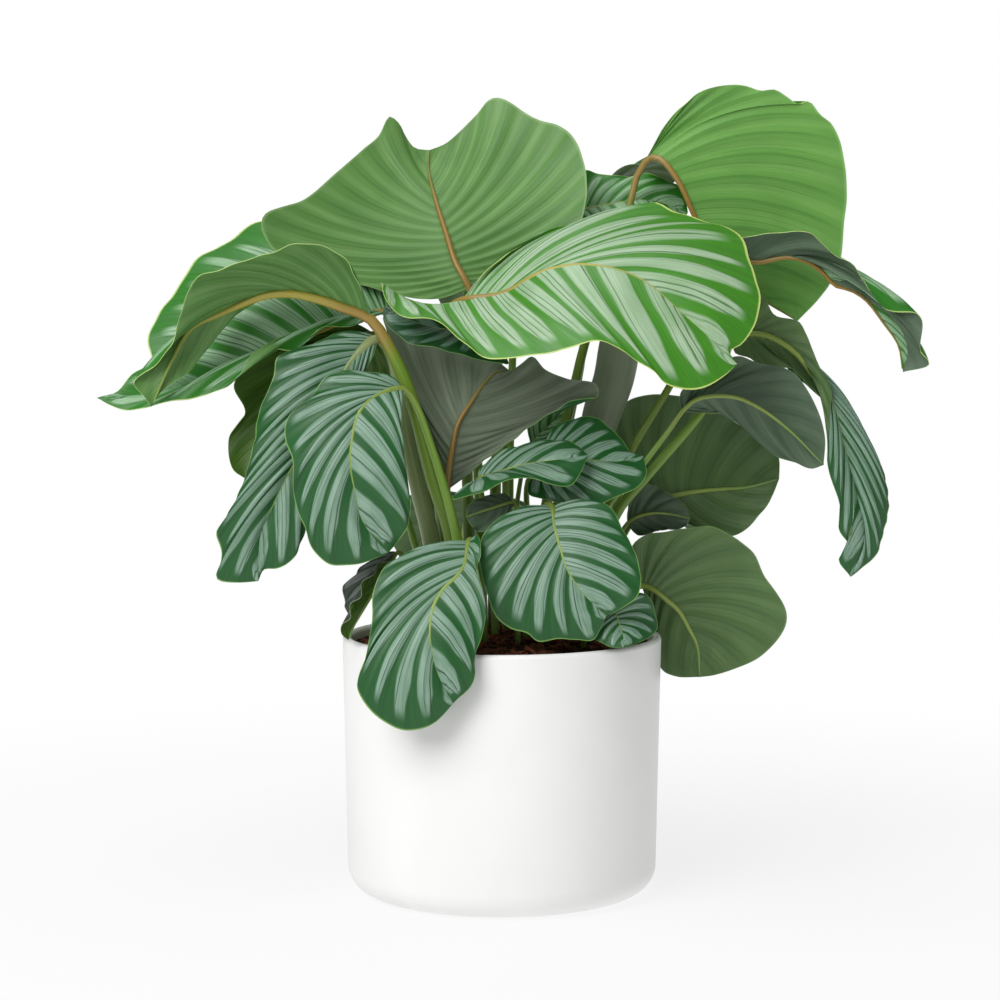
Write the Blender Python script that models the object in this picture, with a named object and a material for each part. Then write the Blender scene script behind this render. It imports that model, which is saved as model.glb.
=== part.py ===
"""Potted calathea: a round-leaved calathea standing in soil in a plain white cylinder pot.

Frame: metres, +Z up, origin at the centre of the pot's underside, the fullest side of
the plant toward -Y.  Every leaf is one solid: its stem, its midrib and its waved blade.
"""
import math

import bpy
import numpy as np

CM = 0.01

# ---- Driving dimensions (metres) -------------------------------------------------
POT_HEIGHT = 20.2 * CM
POT_RIM_RADIUS = 12.5 * CM
POT_BASE_RADIUS = 12.1 * CM
POT_WALL = 0.7 * CM
POT_FLOOR = 1.2 * CM
POT_FOOT_ROUND = 2.1 * CM
POT_SIDES = 48
SOIL_SIDES = 36
SOIL_RINGS = 5

SOIL_DROP = 0.9 * CM
SOIL_MOUND = 0.9 * CM
SOIL_BUMP = 0.12 * CM
FIT_GAP = 0.03 * CM

BLADE_THICKNESS = 0.08 * CM
RIB_SAMPLES = 24
VEIN_SWEEP = 0.13
STEM_SECTIONS = 6

# A tube's flat sides lie nearer its axis than its corners: by this share at 6 sides.
HEXAGON_REACH = 1.16
SOIL_CLEAR = 20.8

LEAF_GREEN = (0.09, 0.2, 0.05)
FURLED_GREEN = (0.25, 0.33, 0.16)
LEAF_ROUGHNESS = 0.4


# ---- Curves ----------------------------------------------------------------------
def spline(points, samples=RIB_SAMPLES):
    """Dense smooth curve through the points (centripetal Catmull-Rom)."""
    pts = np.asarray(points, float)
    ends = np.vstack([2 * pts[0] - pts[1], pts, 2 * pts[-1] - pts[-2]])
    out = []
    for i in range(1, len(ends) - 2):
        p0, p1, p2, p3 = ends[i - 1:i + 3]
        t1 = math.sqrt(np.linalg.norm(p1 - p0)) + 1e-9
        t2 = t1 + math.sqrt(np.linalg.norm(p2 - p1)) + 1e-9
        t3 = t2 + math.sqrt(np.linalg.norm(p3 - p2)) + 1e-9
        t = np.linspace(t1, t2, samples, endpoint=False)[:, None]
        a1 = (t1 - t) / t1 * p0 + t / t1 * p1
        a2 = (t2 - t) / (t2 - t1) * p1 + (t - t1) / (t2 - t1) * p2
        a3 = (t3 - t) / (t3 - t2) * p2 + (t - t2) / (t3 - t2) * p3
        b1 = (t2 - t) / t2 * a1 + t / t2 * a2
        b2 = (t3 - t) / (t3 - t1) * a2 + (t - t1) / (t3 - t1) * a3
        out.append((t2 - t) / (t2 - t1) * b1 + (t - t1) / (t2 - t1) * b2)
    out.append(pts[-1:])
    return np.vstack(out)


def resample(curve, fractions):
    """Points at fractions of the curve's length."""
    steps = np.linalg.norm(np.diff(curve, axis=0), axis=1)
    reach = np.concatenate([[0], np.cumsum(steps)])
    at = np.asarray(fractions) * reach[-1]
    return np.stack([np.interp(at, reach, curve[:, k]) for k in range(3)], axis=1)


def unit(vectors):
    length = np.linalg.norm(vectors, axis=-1, keepdims=True)
    return vectors / np.maximum(length, 1e-12)


def tangents(points):
    return unit(np.gradient(points, axis=0))


def smooth(rows, passes):
    """Average each row of vectors with its neighbours."""
    rows = rows.copy()
    for _ in range(passes):
        padded = np.vstack([rows[:1], rows, rows[-1:]])
        rows = (padded[:-2] + 2 * padded[1:-1] + padded[2:]) / 4
    return rows


# ---- Leaf blade ------------------------------------------------------------------
def round_margin(rib, width, face, sign):
    """Margin of a round leaf: points beside the midrib, on the side that sign names."""
    shares = (0.08, 0.22, 0.4, 0.58, 0.75, 0.9)
    curve = spline(rib)
    places = resample(curve, shares)
    along = tangents(resample(curve, np.linspace(0, 1, 41)))[[round(40 * s) for s in shares]]
    sideways = unit(np.cross(along, face))
    reach = width * np.sin(np.pi * np.array(shares) ** 0.85) ** 0.55
    return list(places + sign * reach[:, None] * unit(sideways + 0.12 * sign * np.asarray(face)))


def shaped(leaf):
    """The leaf with its margins worked out, where it gives only a half width."""
    if "width" not in leaf:
        return leaf
    face = unit(np.asarray(leaf["face"], float))
    margins = {side: round_margin(leaf["rib"], leaf["width"], face, sign)
               for side, sign in (("left", -1), ("right", 1))}
    return {**leaf, **margins}


def axis_curve(leaf):
    """Smooth curve from root to tip, split where the blade begins: stem part, rib part."""
    curve = spline([*leaf["stem"], *leaf["rib"]])
    base = len(leaf["stem"]) * RIB_SAMPLES
    return curve[:base + 1], curve[base:]


def rib_line(leaf, fractions):
    """Points and directions of the midrib, running smoothly on from the stem."""
    stem, rib = axis_curve(leaf)
    places = resample(rib, fractions)
    along = tangents(places)
    along[0] = unit(rib[1] - stem[-2])
    return places, along


def blade_sheet(leaf, rows, across):
    """Middle surface of a blade.

    Returns points [row, column, xyz] with the midrib in the middle column, the left
    half before it and the right half after it, and the midrib's frame: places,
    directions, sideways and upward vectors.
    """
    leaf = shaped(leaf)
    a = np.linspace(0, 1, rows + 1)
    rib, along = rib_line(leaf, a ** 1.35)
    halves = []
    ups = []
    for side, sign in (("left", 1.0), ("right", -1.0)):
        edge_points = [leaf["rib"][0], *leaf[side], leaf["rib"][-1]]
        edge = resample(spline(edge_points), a)
        reach = edge - rib
        ups.append(sign * np.cross(along, reach))
        halves.append((edge, reach))
    up = unit(smooth(unit(smooth(ups[0] + ups[1], 2)), 2))
    sideways = unit(np.cross(along, up))
    up = np.cross(sideways, along)
    sheet = np.zeros((rows + 1, 2 * len(across) + 1, 3))
    middle = len(across)
    sheet[:, middle] = rib
    for k, (edge, reach) in enumerate(halves):
        span = np.linalg.norm(reach, axis=1, keepdims=True)
        normal = unit(smooth(unit(ups[k]), 2) + 0.15 * up)
        # The blade starts flat at its base, where its veins fan out from one point.
        start = np.clip(4 * a, 0, 1)[:, None] * span
        arch = leaf.get("arch", (0.08, 0.08))[k]
        guide = rib + 0.5 * reach - VEIN_SWEEP * start * along + 2 * arch * start * normal
        count, swing, phase = leaf.get("waves", ((5, 0.25, 0.0), (5, 0.25, 0.5)))[k]
        ripple = swing * np.sin(2 * math.pi * (count * a + phase)) * np.sin(math.pi * a) ** 0.5
        for j, t in enumerate(across):
            place = (1 - t) ** 2 * rib + 2 * t * (1 - t) * guide + t * t * edge
            place = place + (ripple * t ** 3)[:, None] * normal
            column = middle - 1 - j if k == 0 else middle + 1 + j
            sheet[:, column] = place
    return sheet, rib, along, sideways, up


# ---- Leaf solid ------------------------------------------------------------------
def stem_frames(leaf, sideways, count):
    """Places and frames along a stem, from the blade's base down to the root."""
    places = resample(axis_curve(leaf)[0][::-1], np.linspace(0, 1, count + 1) ** 1.25)
    along = -tangents(places)
    sides, tops = [], []
    side = sideways
    for k in range(len(places)):
        side = unit(side - np.dot(side, along[k]) * along[k])
        sides.append(side)
        tops.append(np.cross(side, along[k]))
    return places, np.array(sides), np.array(tops)


def stem_radius(leaf, down):
    """Stem radius: slim under the blade, full girth from the middle down."""
    girth = leaf.get("girth", 0.4)
    return girth * (0.62 + 0.38 * np.clip(down * 1.8, 0, 1))


RING_ANGLES = (150, 90, 30, -30, -90, -150)


def stem_ring(place, side, top, radius, angles=RING_ANGLES):
    return [place + radius * (math.cos(math.radians(a)) * side + math.sin(math.radians(a)) * top)
            for a in angles]


def base_angles(left_reach, right_reach, side, top):
    """Angles of the stem's top ring, turned to where each half of the blade leaves it."""
    leans = []
    for reach, level in ((left_reach, 180), (right_reach, 0)):
        angle = math.degrees(math.atan2(np.dot(reach, top), np.dot(reach, side)))
        leans.append(min(max((angle - level + 180) % 360 - 180, -55), 55))
    left, right = 180 + leans[0], leans[1]
    above, below = (left + right) / 2, (left + right) / 2 - 180
    return left - 30, above, right + 30, right - 30, below, left - 330


def rib_room(reach, wanted):
    """Half width of the midrib, held back where the margin comes close to it."""
    return np.minimum(wanted, 0.35 * np.linalg.norm(reach, axis=1, keepdims=True))


def stem_rings(leaf, sideways, grow=0.0):
    """Rings of points down the stem, each wider than the stem by grow, and its root."""
    places, sides, tops = stem_frames(leaf, sideways, STEM_SECTIONS)
    rings = [stem_ring(places[k], sides[k], tops[k], stem_radius(leaf, k / STEM_SECTIONS) + grow)
             for k in range(1, STEM_SECTIONS + 1)]
    return rings, places[-1]


def leaf_mesh(leaf):
    """Vertices (metres) and faces of one leaf: blade, midrib and stem in one closed body."""
    rows, halves = leaf.get("mesh", (10, 4))
    across = [(j / (halves - 1)) ** 0.9 for j in range(1, halves)]
    sheet, rib, along, sideways, up = blade_sheet(leaf, rows, across)
    middle = len(across)
    # A narrow column each side of the midrib carries the raised rib.
    neck = stem_radius(leaf, 0.0)
    taper = (1 - np.linspace(0, 1, rows + 1)) ** 0.8
    rib_half = (0.12 + (neck - 0.12) * taper ** 2)[:, None]
    left_of_rib = rib - rib_room(sheet[:, 0] - rib, rib_half) * sideways
    right_of_rib = rib + rib_room(sheet[:, -1] - rib, rib_half) * sideways
    grid = np.concatenate([sheet[:, :middle], left_of_rib[:, None], sheet[:, middle:middle + 1],
                           right_of_rib[:, None], sheet[:, middle + 1:]], axis=1)
    middle += 1
    last = grid.shape[1] - 1

    normals = sheet_normals(grid, middle, up)
    half = BLADE_THICKNESS / CM / 2
    lift = np.full(grid.shape[:2], half)
    drop = np.full(grid.shape[:2], half)
    depth = taper ** 1.3
    lift[:, middle] = half + 0.5 * neck * depth ** 3
    drop[:, middle] = half + (0.85 * neck) * depth + 0.04
    top_sheet = grid + normals * lift[..., None]
    low_sheet = grid - normals * drop[..., None]

    verts, faces = [], []

    def add(point):
        verts.append(point)
        return len(verts) - 1

    top = np.zeros(grid.shape[:2], int)
    low = np.zeros(grid.shape[:2], int)
    leave = base_angles(sheet[1, 0] - rib[0], sheet[1, -1] - rib[0], sideways[0], up[0])
    ring = [add(p) for p in stem_ring(rib[0], sideways[0], up[0], neck, leave)]
    left_top, mid_top, right_top, right_low, mid_low, left_low = ring
    top[0, :middle], top[0, middle], top[0, middle + 1:] = left_top, mid_top, right_top
    low[0, :middle], low[0, middle], low[0, middle + 1:] = left_low, mid_low, right_low
    for i in range(1, rows):
        for c in range(last + 1):
            top[i, c] = add(top_sheet[i, c])
            low[i, c] = add(low_sheet[i, c])
    top[rows, :] = add(rib[rows] + up[rows] * half)
    low[rows, :] = add(rib[rows] - up[rows] * half)

    def quad(p, q, r, s):
        for tri in ((p, q, r), (p, r, s)):
            if len(set(tri)) == 3:
                faces.append(tri)

    for i in range(rows):
        for c in range(last):
            # Both skins are split along the same diagonal.
            quad(top[i, c], top[i, c + 1], top[i + 1, c + 1], top[i + 1, c])
            p, q, r, s = low[i, c], low[i, c + 1], low[i + 1, c + 1], low[i + 1, c]
            for tri in ((p, r, q), (p, s, r)):
                if len(set(tri)) == 3:
                    faces.append(tri)
        quad(top[i, 0], top[i + 1, 0], low[i + 1, 0], low[i, 0])
        quad(low[i, last], low[i + 1, last], top[i + 1, last], top[i, last])

    above = ring
    rings, root = stem_rings(leaf, sideways[0])
    for points in rings:
        below = [add(p) for p in points]
        for n in range(6):
            m = (n + 1) % 6
            quad(above[m], above[n], below[n], below[m])
        above = below
    foot = add(root)
    for n in range(6):
        faces.append((above[(n + 1) % 6], above[n], foot))
    return np.array(verts) * CM, faces


def sheet_normals(grid, middle, up):
    """Upward normals of the sheet, from the triangles round each point."""
    normals = np.zeros_like(grid)
    a, b, c, d = grid[:-1, :-1], grid[:-1, 1:], grid[1:, 1:], grid[1:, :-1]
    for p, q, r, corners in ((a, b, c, ((0, 0), (0, 1), (1, 1))), (a, c, d, ((0, 0), (1, 1), (1, 0)))):
        face = np.cross(q - p, r - p)
        for di, dj in corners:
            rows, columns = face.shape[:2]
            normals[di:di + rows, dj:dj + columns] += face
    normals[:, middle] = up
    return unit(normals)


# ---- Leaves ----------------------------------------------------------------------
# Points are (x, y, z) in centimetres in the pot's frame.  "stem" runs from the root up to
# the blade, "rib" is the midrib from base to tip, and "left" and "right" are the margins
# from base to tip, seen from above with the tip ahead.
LEAVES = {
    "leaf_crown_front": dict(
        stem=[(-2.2, 1.0, 17), (-2.7, 0.8, 32), (-2.9, 0.2, 41.2), (-4.0, -2.4, 45.4)],
        rib=[(-3.0, -5.0, 46.4), (0.0, -6.0, 47.0), (3.0, -7.0, 48.6), (6.2, -7.5, 49.1), (10.0, -8.0, 48.2),
             (14.0, -9.5, 44.9), (17.3, -10.5, 42.1)],
        left=[(-0.9, -4.0, 48.8), (1.3, -2.5, 50.5), (3.8, -1.0, 51.8), (6.9, 0.0, 52.4), (9.2, 0.5, 53.1),
              (11.8, 0.5, 54.0), (13.8, 0.0, 53.0), (16.1, -1.0, 52.2), (18.2, -2.5, 51.5), (19.0, -5.0, 48.8),
              (19.3, -7.0, 46.4), (18.9, -9.0, 44.2)],
        right=[(-4.6, -5.3, 46.1), (-6.2, -5.1, 46.2), (-7.6, -5.3, 46.7), (-9.1, -6.0, 47.7), (-8.8, -7.0, 46.6),
               (-8.0, -7.8, 45.6), (-6.8, -8.3, 45.1), (-5.2, -8.7, 45.0), (-3.9, -9.5, 44.1),
               (-1.3, -10.5, 42.3), (1.0, -11.0, 42.2), (3.7, -11.5, 42.5), (7.3, -12.0, 43.5), (9.9, -12.0, 41.9),
               (12.1, -12.0, 40.3), (14.9, -11.5, 40.0), (16.6, -11.0, 40.9)],
        waves=((4, 0.15, 0.0), (4, 0.15, 0.3)), mesh=(14, 4), girth=0.45),
    "leaf_tall_back": dict(
        stem=[(-0.8, 2.5, 17), (-0.5, 2.6, 32), (-0.4, 2.2, 42)],
        rib=[(-2.5, 0.5, 47.2), (-3.6, 1.0, 49.1), (-4.3, 2.0, 51.2), (-5.2, 4.0, 54.0), (-6.0, 7.0, 57.0)],
        left=[(-1.2, 1.0, 46.9), (1.4, 1.8, 48.0), (4.2, 2.3, 50.0), (6.2, 2.5, 52.5), (6.7, 3.5, 55.7), (5.9, 5.0, 58.8),
              (4.7, 6.0, 60.2), (2.5, 7.0, 61.1), (-0.6, 8.0, 62.7), (-2.6, 8.0, 60.8), (-4.4, 7.6, 58.9)],
        right=[(-5.6, 0.0, 46.4), (-10.3, -1.0, 47.4), (-14.8, -1.6, 49.2), (-17.9, -1.6, 50.6), (-18.5, -1.0, 52.7),
               (-15.3, 1.0, 54.4), (-12.9, 3.0, 56.5), (-11.0, 5.0, 58.4), (-9.2, 6.5, 60.9), (-8.2, 7.0, 60.5),
               (-7.1, 7.0, 58.7)],
        waves=((5, 0.1, 0.0), (5, 0.1, 0.3)), mesh=(14, 4), girth=0.45),
    "leaf_left_striped": dict(
        stem=[(-3.8, 0.8, 17), (-5.2, 1.0, 32), (-7.3, 0.6, 41)],
        rib=[(-8.9, -0.6, 45.4), (-11.7, -1.4, 45.0), (-14.6, -2.0, 43.9), (-17.1, -2.4, 43.0), (-19.6, -2.6, 41.9),
             (-22.0, -2.9, 40.9), (-25.8, -3.6, 39.4), (-30.0, -4.6, 38.6)],
        left=[(-11.1, -2.8, 44.6), (-13.5, -3.8, 44.2), (-15.7, -4.6, 42.8), (-17.4, -5.2, 42.7), (-19.0, -5.8, 42.0),
              (-19.9, -6.2, 41.0), (-21.8, -6.4, 39.7), (-23.4, -6.3, 39.0), (-25.0, -5.9, 39.0), (-27.2, -5.5, 38.1),
              (-29.0, -5.1, 38.2)],
        right=[(-9.4, 1.5, 47.5), (-12.9, 3.0, 50.3), (-16.1, 3.8, 52.0), (-19.0, 4.0, 52.6), (-20.5, 3.5, 52.0),
               (-21.7, 3.0, 50.8), (-24.1, 2.0, 49.3), (-25.5, 0.8, 47.2), (-26.8, -0.5, 44.9), (-27.4, -1.6, 43.2),
               (-27.0, -2.6, 41.6), (-28.3, -3.4, 40.8), (-29.5, -4.1, 39.3)],
        mesh=(12, 4)),
    "leaf_left_folded": dict(
        stem=[(-3.2, -4.4, 17), (-3.8, -5.0, 28.2), (-5.2, -5.5, 32.7), (-6.8, -6.0, 38.7), (-8.0, -6.0, 41.8)],
        rib=[(-9.9, -6.0, 44.9), (-11.9, -6.0, 46.0), (-14.3, -6.0, 46.8), (-16.2, -6.0, 47.1), (-18.0, -6.0, 46.9),
             (-19.6, -6.0, 46.3), (-21.6, -6.0, 45.4), (-23.5, -6.3, 44.4), (-24.9, -7.0, 41.9), (-26.4, -7.5, 38.4)],
        left=[(-10.3, -7.0, 46.2), (-10.9, -8.5, 48.1), (-11.7, -9.5, 49.5), (-13.5, -10.0, 50.4), (-15.4, -10.5, 50.6),
              (-17.3, -10.5, 49.8), (-19.9, -10.5, 49.0), (-22.6, -10.0, 48.1), (-23.3, -9.5, 46.9), (-24.1, -9.0, 45.0),
              (-24.9, -8.5, 42.8), (-26.1, -8.2, 41.4), (-27.7, -8.0, 40.2), (-27.0, -7.8, 39.3)],
        right=[(-10.3, -5.0, 45.8), (-12.0, -3.8, 47.2), (-15.5, -3.2, 48.3), (-18.6, -3.2, 47.9), (-21.2, -3.7, 46.4),
               (-22.8, -4.5, 44.1), (-23.2, -5.5, 42.6), (-23.4, -6.0, 41.3), (-24.2, -6.5, 40.6), (-25.6, -7.0, 39.6)],
        waves=((5, 0.1, 0.0), (5, 0.1, 0.3)), mesh=(14, 4), girth=0.5),
    "leaf_left_hanging": dict(
        stem=[(-4.6, -3.0, 17), (-5.4, -3.5, 27.6), (-6.4, -4.0, 31.9), (-7.2, -4.3, 35.7), (-7.8, -4.5, 39.5),
              (-8.5, -4.6, 42.4)],
        rib=[(-9.4, -5.0, 43.5), (-11.1, -6.0, 42.2), (-13.0, -7.0, 38.9), (-14.4, -7.5, 36.1), (-16.0, -8.0, 33.5),
             (-17.4, -8.0, 30.7), (-18.2, -8.0, 28.8), (-18.6, -8.0, 25.9)],
        left=[(-9.9, -6.0, 41.9), (-11.5, -7.0, 38.9), (-12.9, -7.5, 35.1), (-14.0, -8.0, 31.4), (-14.9, -8.0, 28.9),
              (-15.8, -8.0, 26.9), (-17.0, -8.0, 26.2)],
        right=[(-11.6, -5.0, 44.1), (-14.6, -5.9, 42.9), (-16.9, -6.6, 42.2), (-17.3, -6.5, 40.4), (-18.4, -7.0, 37.9),
               (-18.7, -7.5, 35.5), (-19.6, -8.0, 32.5), (-20.8, -8.3, 30.0), (-21.5, -8.3, 29.0), (-21.1, -8.2, 27.3),
               (-21.4, -8.0, 25.6), (-19.6, -8.0, 25.2)],
        mesh=(12, 4)),
    "leaf_left_rear": dict(
        stem=[(-5.2, 2.2, 17), (-6.0, 2.5, 32), (-8.0, 2.0, 39)],
        rib=[(-10.2, 0.0, 42.9), (-14.1, -1.0, 41.0), (-16.8, -1.5, 38.7), (-18.7, -1.5, 35.6), (-20.0, -1.7, 32.6)],
        left=[(-12.6, -0.3, 43.7), (-15.7, -0.6, 42.9), (-18.6, -1.0, 42.3), (-19.8, -1.5, 41.2), (-20.8, -1.5, 39.8),
              (-19.9, -1.5, 37.6), (-21.1, -1.5, 36.0), (-21.2, -1.7, 34.4), (-20.8, -1.8, 33.2)],
        right=[(-11.0, -1.5, 40.6), (-13.2, -2.5, 37.9), (-15.5, -2.5, 34.9), (-18.3, -2.2, 32.9)],
        mesh=(12, 3)),
    "leaf_left_front": dict(
        stem=[(-1.9, -6.2, 17), (-3.4, -6.6, 28.3), (-5.5, -7.1, 35.9), (-6.6, -7.6, 38.8)],
        rib=[(-7.4, -8.1, 39.8), (-9.0, -9.0, 39.5), (-9.9, -9.3, 39.0), (-10.7, -9.7, 38.0), (-11.1, -10.0, 36.6),
             (-11.3, -10.3, 34.3), (-10.9, -10.3, 32.0), (-10.5, -10.2, 30.2), (-9.4, -10.0, 28.5), (-8.5, -10.0, 27.6)],
        left=[(-7.5, -8.5, 38.9), (-7.7, -9.0, 37.8), (-7.5, -9.3, 36.4), (-7.5, -9.5, 35.0), (-7.1, -9.7, 33.1),
              (-6.8, -9.8, 31.0), (-7.1, -9.8, 29.5), (-7.8, -9.9, 28.4)],
        right=[(-8.3, -8.0, 40.8), (-10.2, -8.2, 41.0), (-11.8, -8.4, 41.1), (-13.1, -8.7, 40.8), (-14.3, -9.0, 39.2),
               (-16.0, -9.3, 37.6), (-16.2, -9.7, 36.0), (-15.6, -10.0, 34.7), (-15.5, -10.0, 31.6), (-14.6, -10.0, 29.2),
               (-14.0, -10.0, 27.7), (-12.8, -10.0, 26.7), (-10.6, -10.0, 26.8)],
        mesh=(12, 4)),
    "leaf_centre_upright": dict(
        stem=[(-3.0, -2.4, 17), (-3.8, -3.0, 26)],
        rib=[(-4.2, -3.5, 31.8), (-3.8, -3.5, 34.9), (-3.4, -3.2, 36.8), (-2.5, -2.8, 38.3), (-1.3, -2.2, 40.0),
             (-0.4, -1.8, 40.8), (1.0, -1.0, 40.6)],
        left=[(-2.6, -3.8, 33.0), (-1.6, -4.0, 33.9), (0.6, -4.0, 35.5), (2.3, -4.0, 36.8), (4.3, -4.0, 38.1),
              (5.7, -4.0, 38.8), (7.3, -4.0, 39.0), (7.2, -3.7, 40.0), (5.1, -3.0, 40.3), (3.3, -2.5, 41.1),
              (2.4, -2.0, 42.0), (1.6, -1.6, 41.4)],
        right=[(-5.3, -3.4, 33.6), (-6.0, -3.3, 36.1), (-6.7, -3.0, 38.7), (-8.1, -2.5, 42.2), (-9.1, -2.4, 45.2),
               (-7.9, -1.5, 44.4), (-4.8, -1.2, 42.9), (-2.1, -1.0, 42.0), (-0.4, -1.0, 41.6)],
        waves=((5, 0.1, 0.0), (5, 0.1, 0.3)), mesh=(12, 4)),
    "leaf_centre_dark": dict(
        stem=[(0.3, 0.6, 17), (0.2, 0.8, 36), (-0.3, 0.2, 41.8), (-0.6, -1.5, 43.8)],
        rib=[(-1.1, -3.2, 44.1), (-3.6, -4.8, 44.1), (-5.9, -5.2, 44.5), (-9.0, -5.0, 45.9)],
        left=[(-0.2, -4.4, 43.0), (0.4, -5.5, 41.4), (-0.9, -6.0, 41.9), (-2.4, -6.3, 41.9), (-3.7, -6.6, 42.6),
              (-5.6, -6.6, 42.8), (-7.3, -6.3, 43.4), (-8.5, -5.8, 44.2), (-9.0, -5.3, 45.2)],
        right=[(-2.4, -4.0, 45.0), (-4.7, -4.4, 45.3), (-7.0, -4.6, 45.8)],
        mesh=(10, 3), girth=0.3),
    "leaf_front_round": dict(
        stem=[(1.8, -4.0, 17), (2.5, -4.5, 26), (3.4, -6.2, 30.8)],
        rib=[(3.8, -7.5, 30.8), (3.9, -8.5, 29.7), (4.3, -9.3, 28.1), (4.8, -9.8, 26.5), (5.8, -10.2, 24.9),
             (6.9, -10.3, 23.7), (7.8, -10.2, 22.9)],
        left=[(5.3, -7.8, 31.4), (7.0, -8.2, 31.3), (8.2, -8.5, 30.8), (9.1, -9.0, 29.2), (10.1, -9.5, 27.2),
              (10.4, -9.8, 25.3), (10.1, -10.0, 24.3), (8.9, -10.2, 23.4)],
        right=[(2.5, -7.8, 31.0), (1.1, -8.2, 30.8), (-0.9, -9.0, 29.5), (-1.7, -9.5, 28.1), (-1.6, -10.0, 26.3),
               (-1.0, -10.4, 24.2), (-0.4, -10.5, 22.8), (0.6, -10.5, 22.0), (1.9, -10.6, 21.6), (2.7, -10.6, 21.0),
               (4.3, -10.5, 21.2), (5.5, -10.4, 21.1), (6.8, -10.4, 21.1), (7.3, -10.3, 21.8)],
        waves=((4, 0.1, 0.0), (4, 0.1, 0.3)), mesh=(13, 4)),
    "leaf_rim_small": dict(
        stem=[(5.6, -4.8, 17), (6.6, -6.0, 21.3), (7.8, -7.6, 23.2)],
        rib=[(8.4, -8.7, 23.1), (8.8, -9.2, 22.2), (9.1, -9.8, 21.2), (9.1, -10.2, 20.5)],
        left=[(9.4, -8.4, 24.2), (10.5, -8.2, 24.4), (11.2, -7.9, 23.9), (11.6, -7.5, 22.7), (11.8, -7.6, 21.7),
              (11.2, -8.5, 21.1), (10.4, -9.3, 20.8), (9.6, -9.9, 20.6)],
        right=[(7.9, -9.1, 22.6), (7.4, -9.3, 22.0), (7.1, -9.6, 21.5), (6.9, -9.8, 21.1), (7.5, -10.0, 20.8),
               (8.3, -10.2, 20.5)],
        waves=((3, 0.06, 0.0), (3, 0.06, 0.4)), mesh=(9, 3), girth=0.2),
    "leaf_over_pot": dict(
        stem=[(-1.4, -5.2, 17), (-1.6, -6.3, 24), (-2.1, -8.0, 28)],
        rib=[(-2.5, -9.5, 28.4), (-2.8, -10.8, 26.8), (-3.4, -11.5, 26.0), (-4.3, -12.3, 25.2), (-5.0, -13.0, 24.1),
             (-5.3, -13.8, 22.4), (-5.1, -14.2, 20.5), (-4.5, -14.3, 18.6), (-3.6, -14.2, 16.9)],
        left=[(-1.8, -10.1, 28.9), (-1.6, -11.0, 27.6), (-1.9, -11.5, 26.5), (-1.5, -12.2, 25.1), (-1.2, -12.8, 23.5),
              (-1.5, -13.3, 21.7), (-2.0, -13.6, 20.3), (-2.0, -13.9, 19.0), (-2.3, -14.0, 18.1), (-3.3, -14.2, 17.2)],
        right=[(-4.2, -9.5, 28.3), (-5.9, -10.0, 28.2), (-7.3, -10.5, 27.5), (-8.4, -11.0, 26.9), (-9.2, -11.5, 25.9),
               (-9.6, -12.0, 24.6), (-9.6, -12.8, 22.6), (-9.9, -13.3, 20.8), (-10.2, -13.6, 19.7), (-10.7, -13.7, 18.3),
               (-10.4, -13.8, 17.3), (-9.5, -14.0, 16.2), (-8.3, -14.1, 15.3), (-7.1, -14.2, 14.9), (-6.0, -14.3, 15.0),
               (-4.8, -14.3, 15.6)],
        waves=((4, 0.1, 0.0), (4, 0.1, 0.3)), mesh=(13, 4)),
    "leaf_rim_folded": dict(
        stem=[(-5.8, -4.6, 17), (-6.6, -4.8, 24)],
        rib=[(-7.9, -5.5, 27.2), (-8.9, -6.2, 25.8), (-9.7, -6.6, 24.5), (-10.7, -6.8, 22.8), (-11.4, -6.8, 21.5),
             (-11.7, -6.8, 20.6)],
        left=[(-8.5, -6.6, 26.8), (-9.8, -8.0, 25.9), (-10.8, -8.3, 24.3), (-11.6, -8.0, 22.6), (-12.2, -7.3, 21.2)],
        right=[(-8.9, -5.0, 27.0), (-10.4, -5.0, 25.8), (-11.6, -5.0, 24.2), (-13.0, -5.0, 22.5), (-12.5, -5.5, 22.0),
               (-11.9, -6.3, 21.8)],
        mesh=(9, 3), girth=0.28),
    "leaf_middle_small": dict(
        stem=[(-0.4, -2.8, 17), (-0.8, -3.4, 27), (-1.6, -4.8, 31.8)],
        rib=[(-1.8, -6.0, 32.8), (0.2, -6.7, 33.6), (2.1, -7.0, 34.1), (4.4, -7.2, 34.4), (6.5, -7.0, 34.7)],
        left=[(-1.7, -5.5, 33.5), (-0.2, -5.0, 34.8), (2.1, -5.0, 35.5), (4.2, -5.3, 35.8), (5.7, -6.0, 35.4)],
        right=[(-2.9, -6.9, 32.4), (-3.7, -7.9, 31.4), (-2.0, -8.5, 31.9), (0.3, -8.7, 32.8), (2.1, -8.8, 33.2),
               (3.7, -8.8, 32.6), (5.1, -8.5, 32.5), (5.9, -7.8, 33.4)],
        waves=((4, 0.1, 0.0), (4, 0.1, 0.3)), mesh=(10, 3), girth=0.3),
    "leaf_middle_round": dict(
        stem=[(2.5, -1.8, 17), (2.2, -2.4, 27), (2.0, -3.6, 32.5)],
        rib=[(2.9, -4.5, 33.6), (4.8, -5.0, 34.1), (6.7, -5.2, 34.2), (9.0, -5.0, 34.1), (10.8, -4.5, 34.5)],
        left=[(3.3, -3.8, 35.3), (4.1, -3.3, 36.6), (6.0, -3.0, 37.4), (7.5, -3.0, 37.2), (8.9, -3.5, 36.0),
              (9.8, -4.0, 34.9)],
        right=[(2.0, -5.5, 32.4), (2.1, -6.0, 31.6), (3.6, -6.1, 31.2), (5.4, -6.5, 30.7), (6.6, -6.8, 30.7),
               (8.7, -6.3, 31.5), (10.2, -5.8, 32.1), (11.0, -5.2, 33.1)],
        waves=((4, 0.1, 0.0), (4, 0.1, 0.3)), mesh=(11, 3), girth=0.3),
    "leaf_low_sprout": dict(
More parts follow.
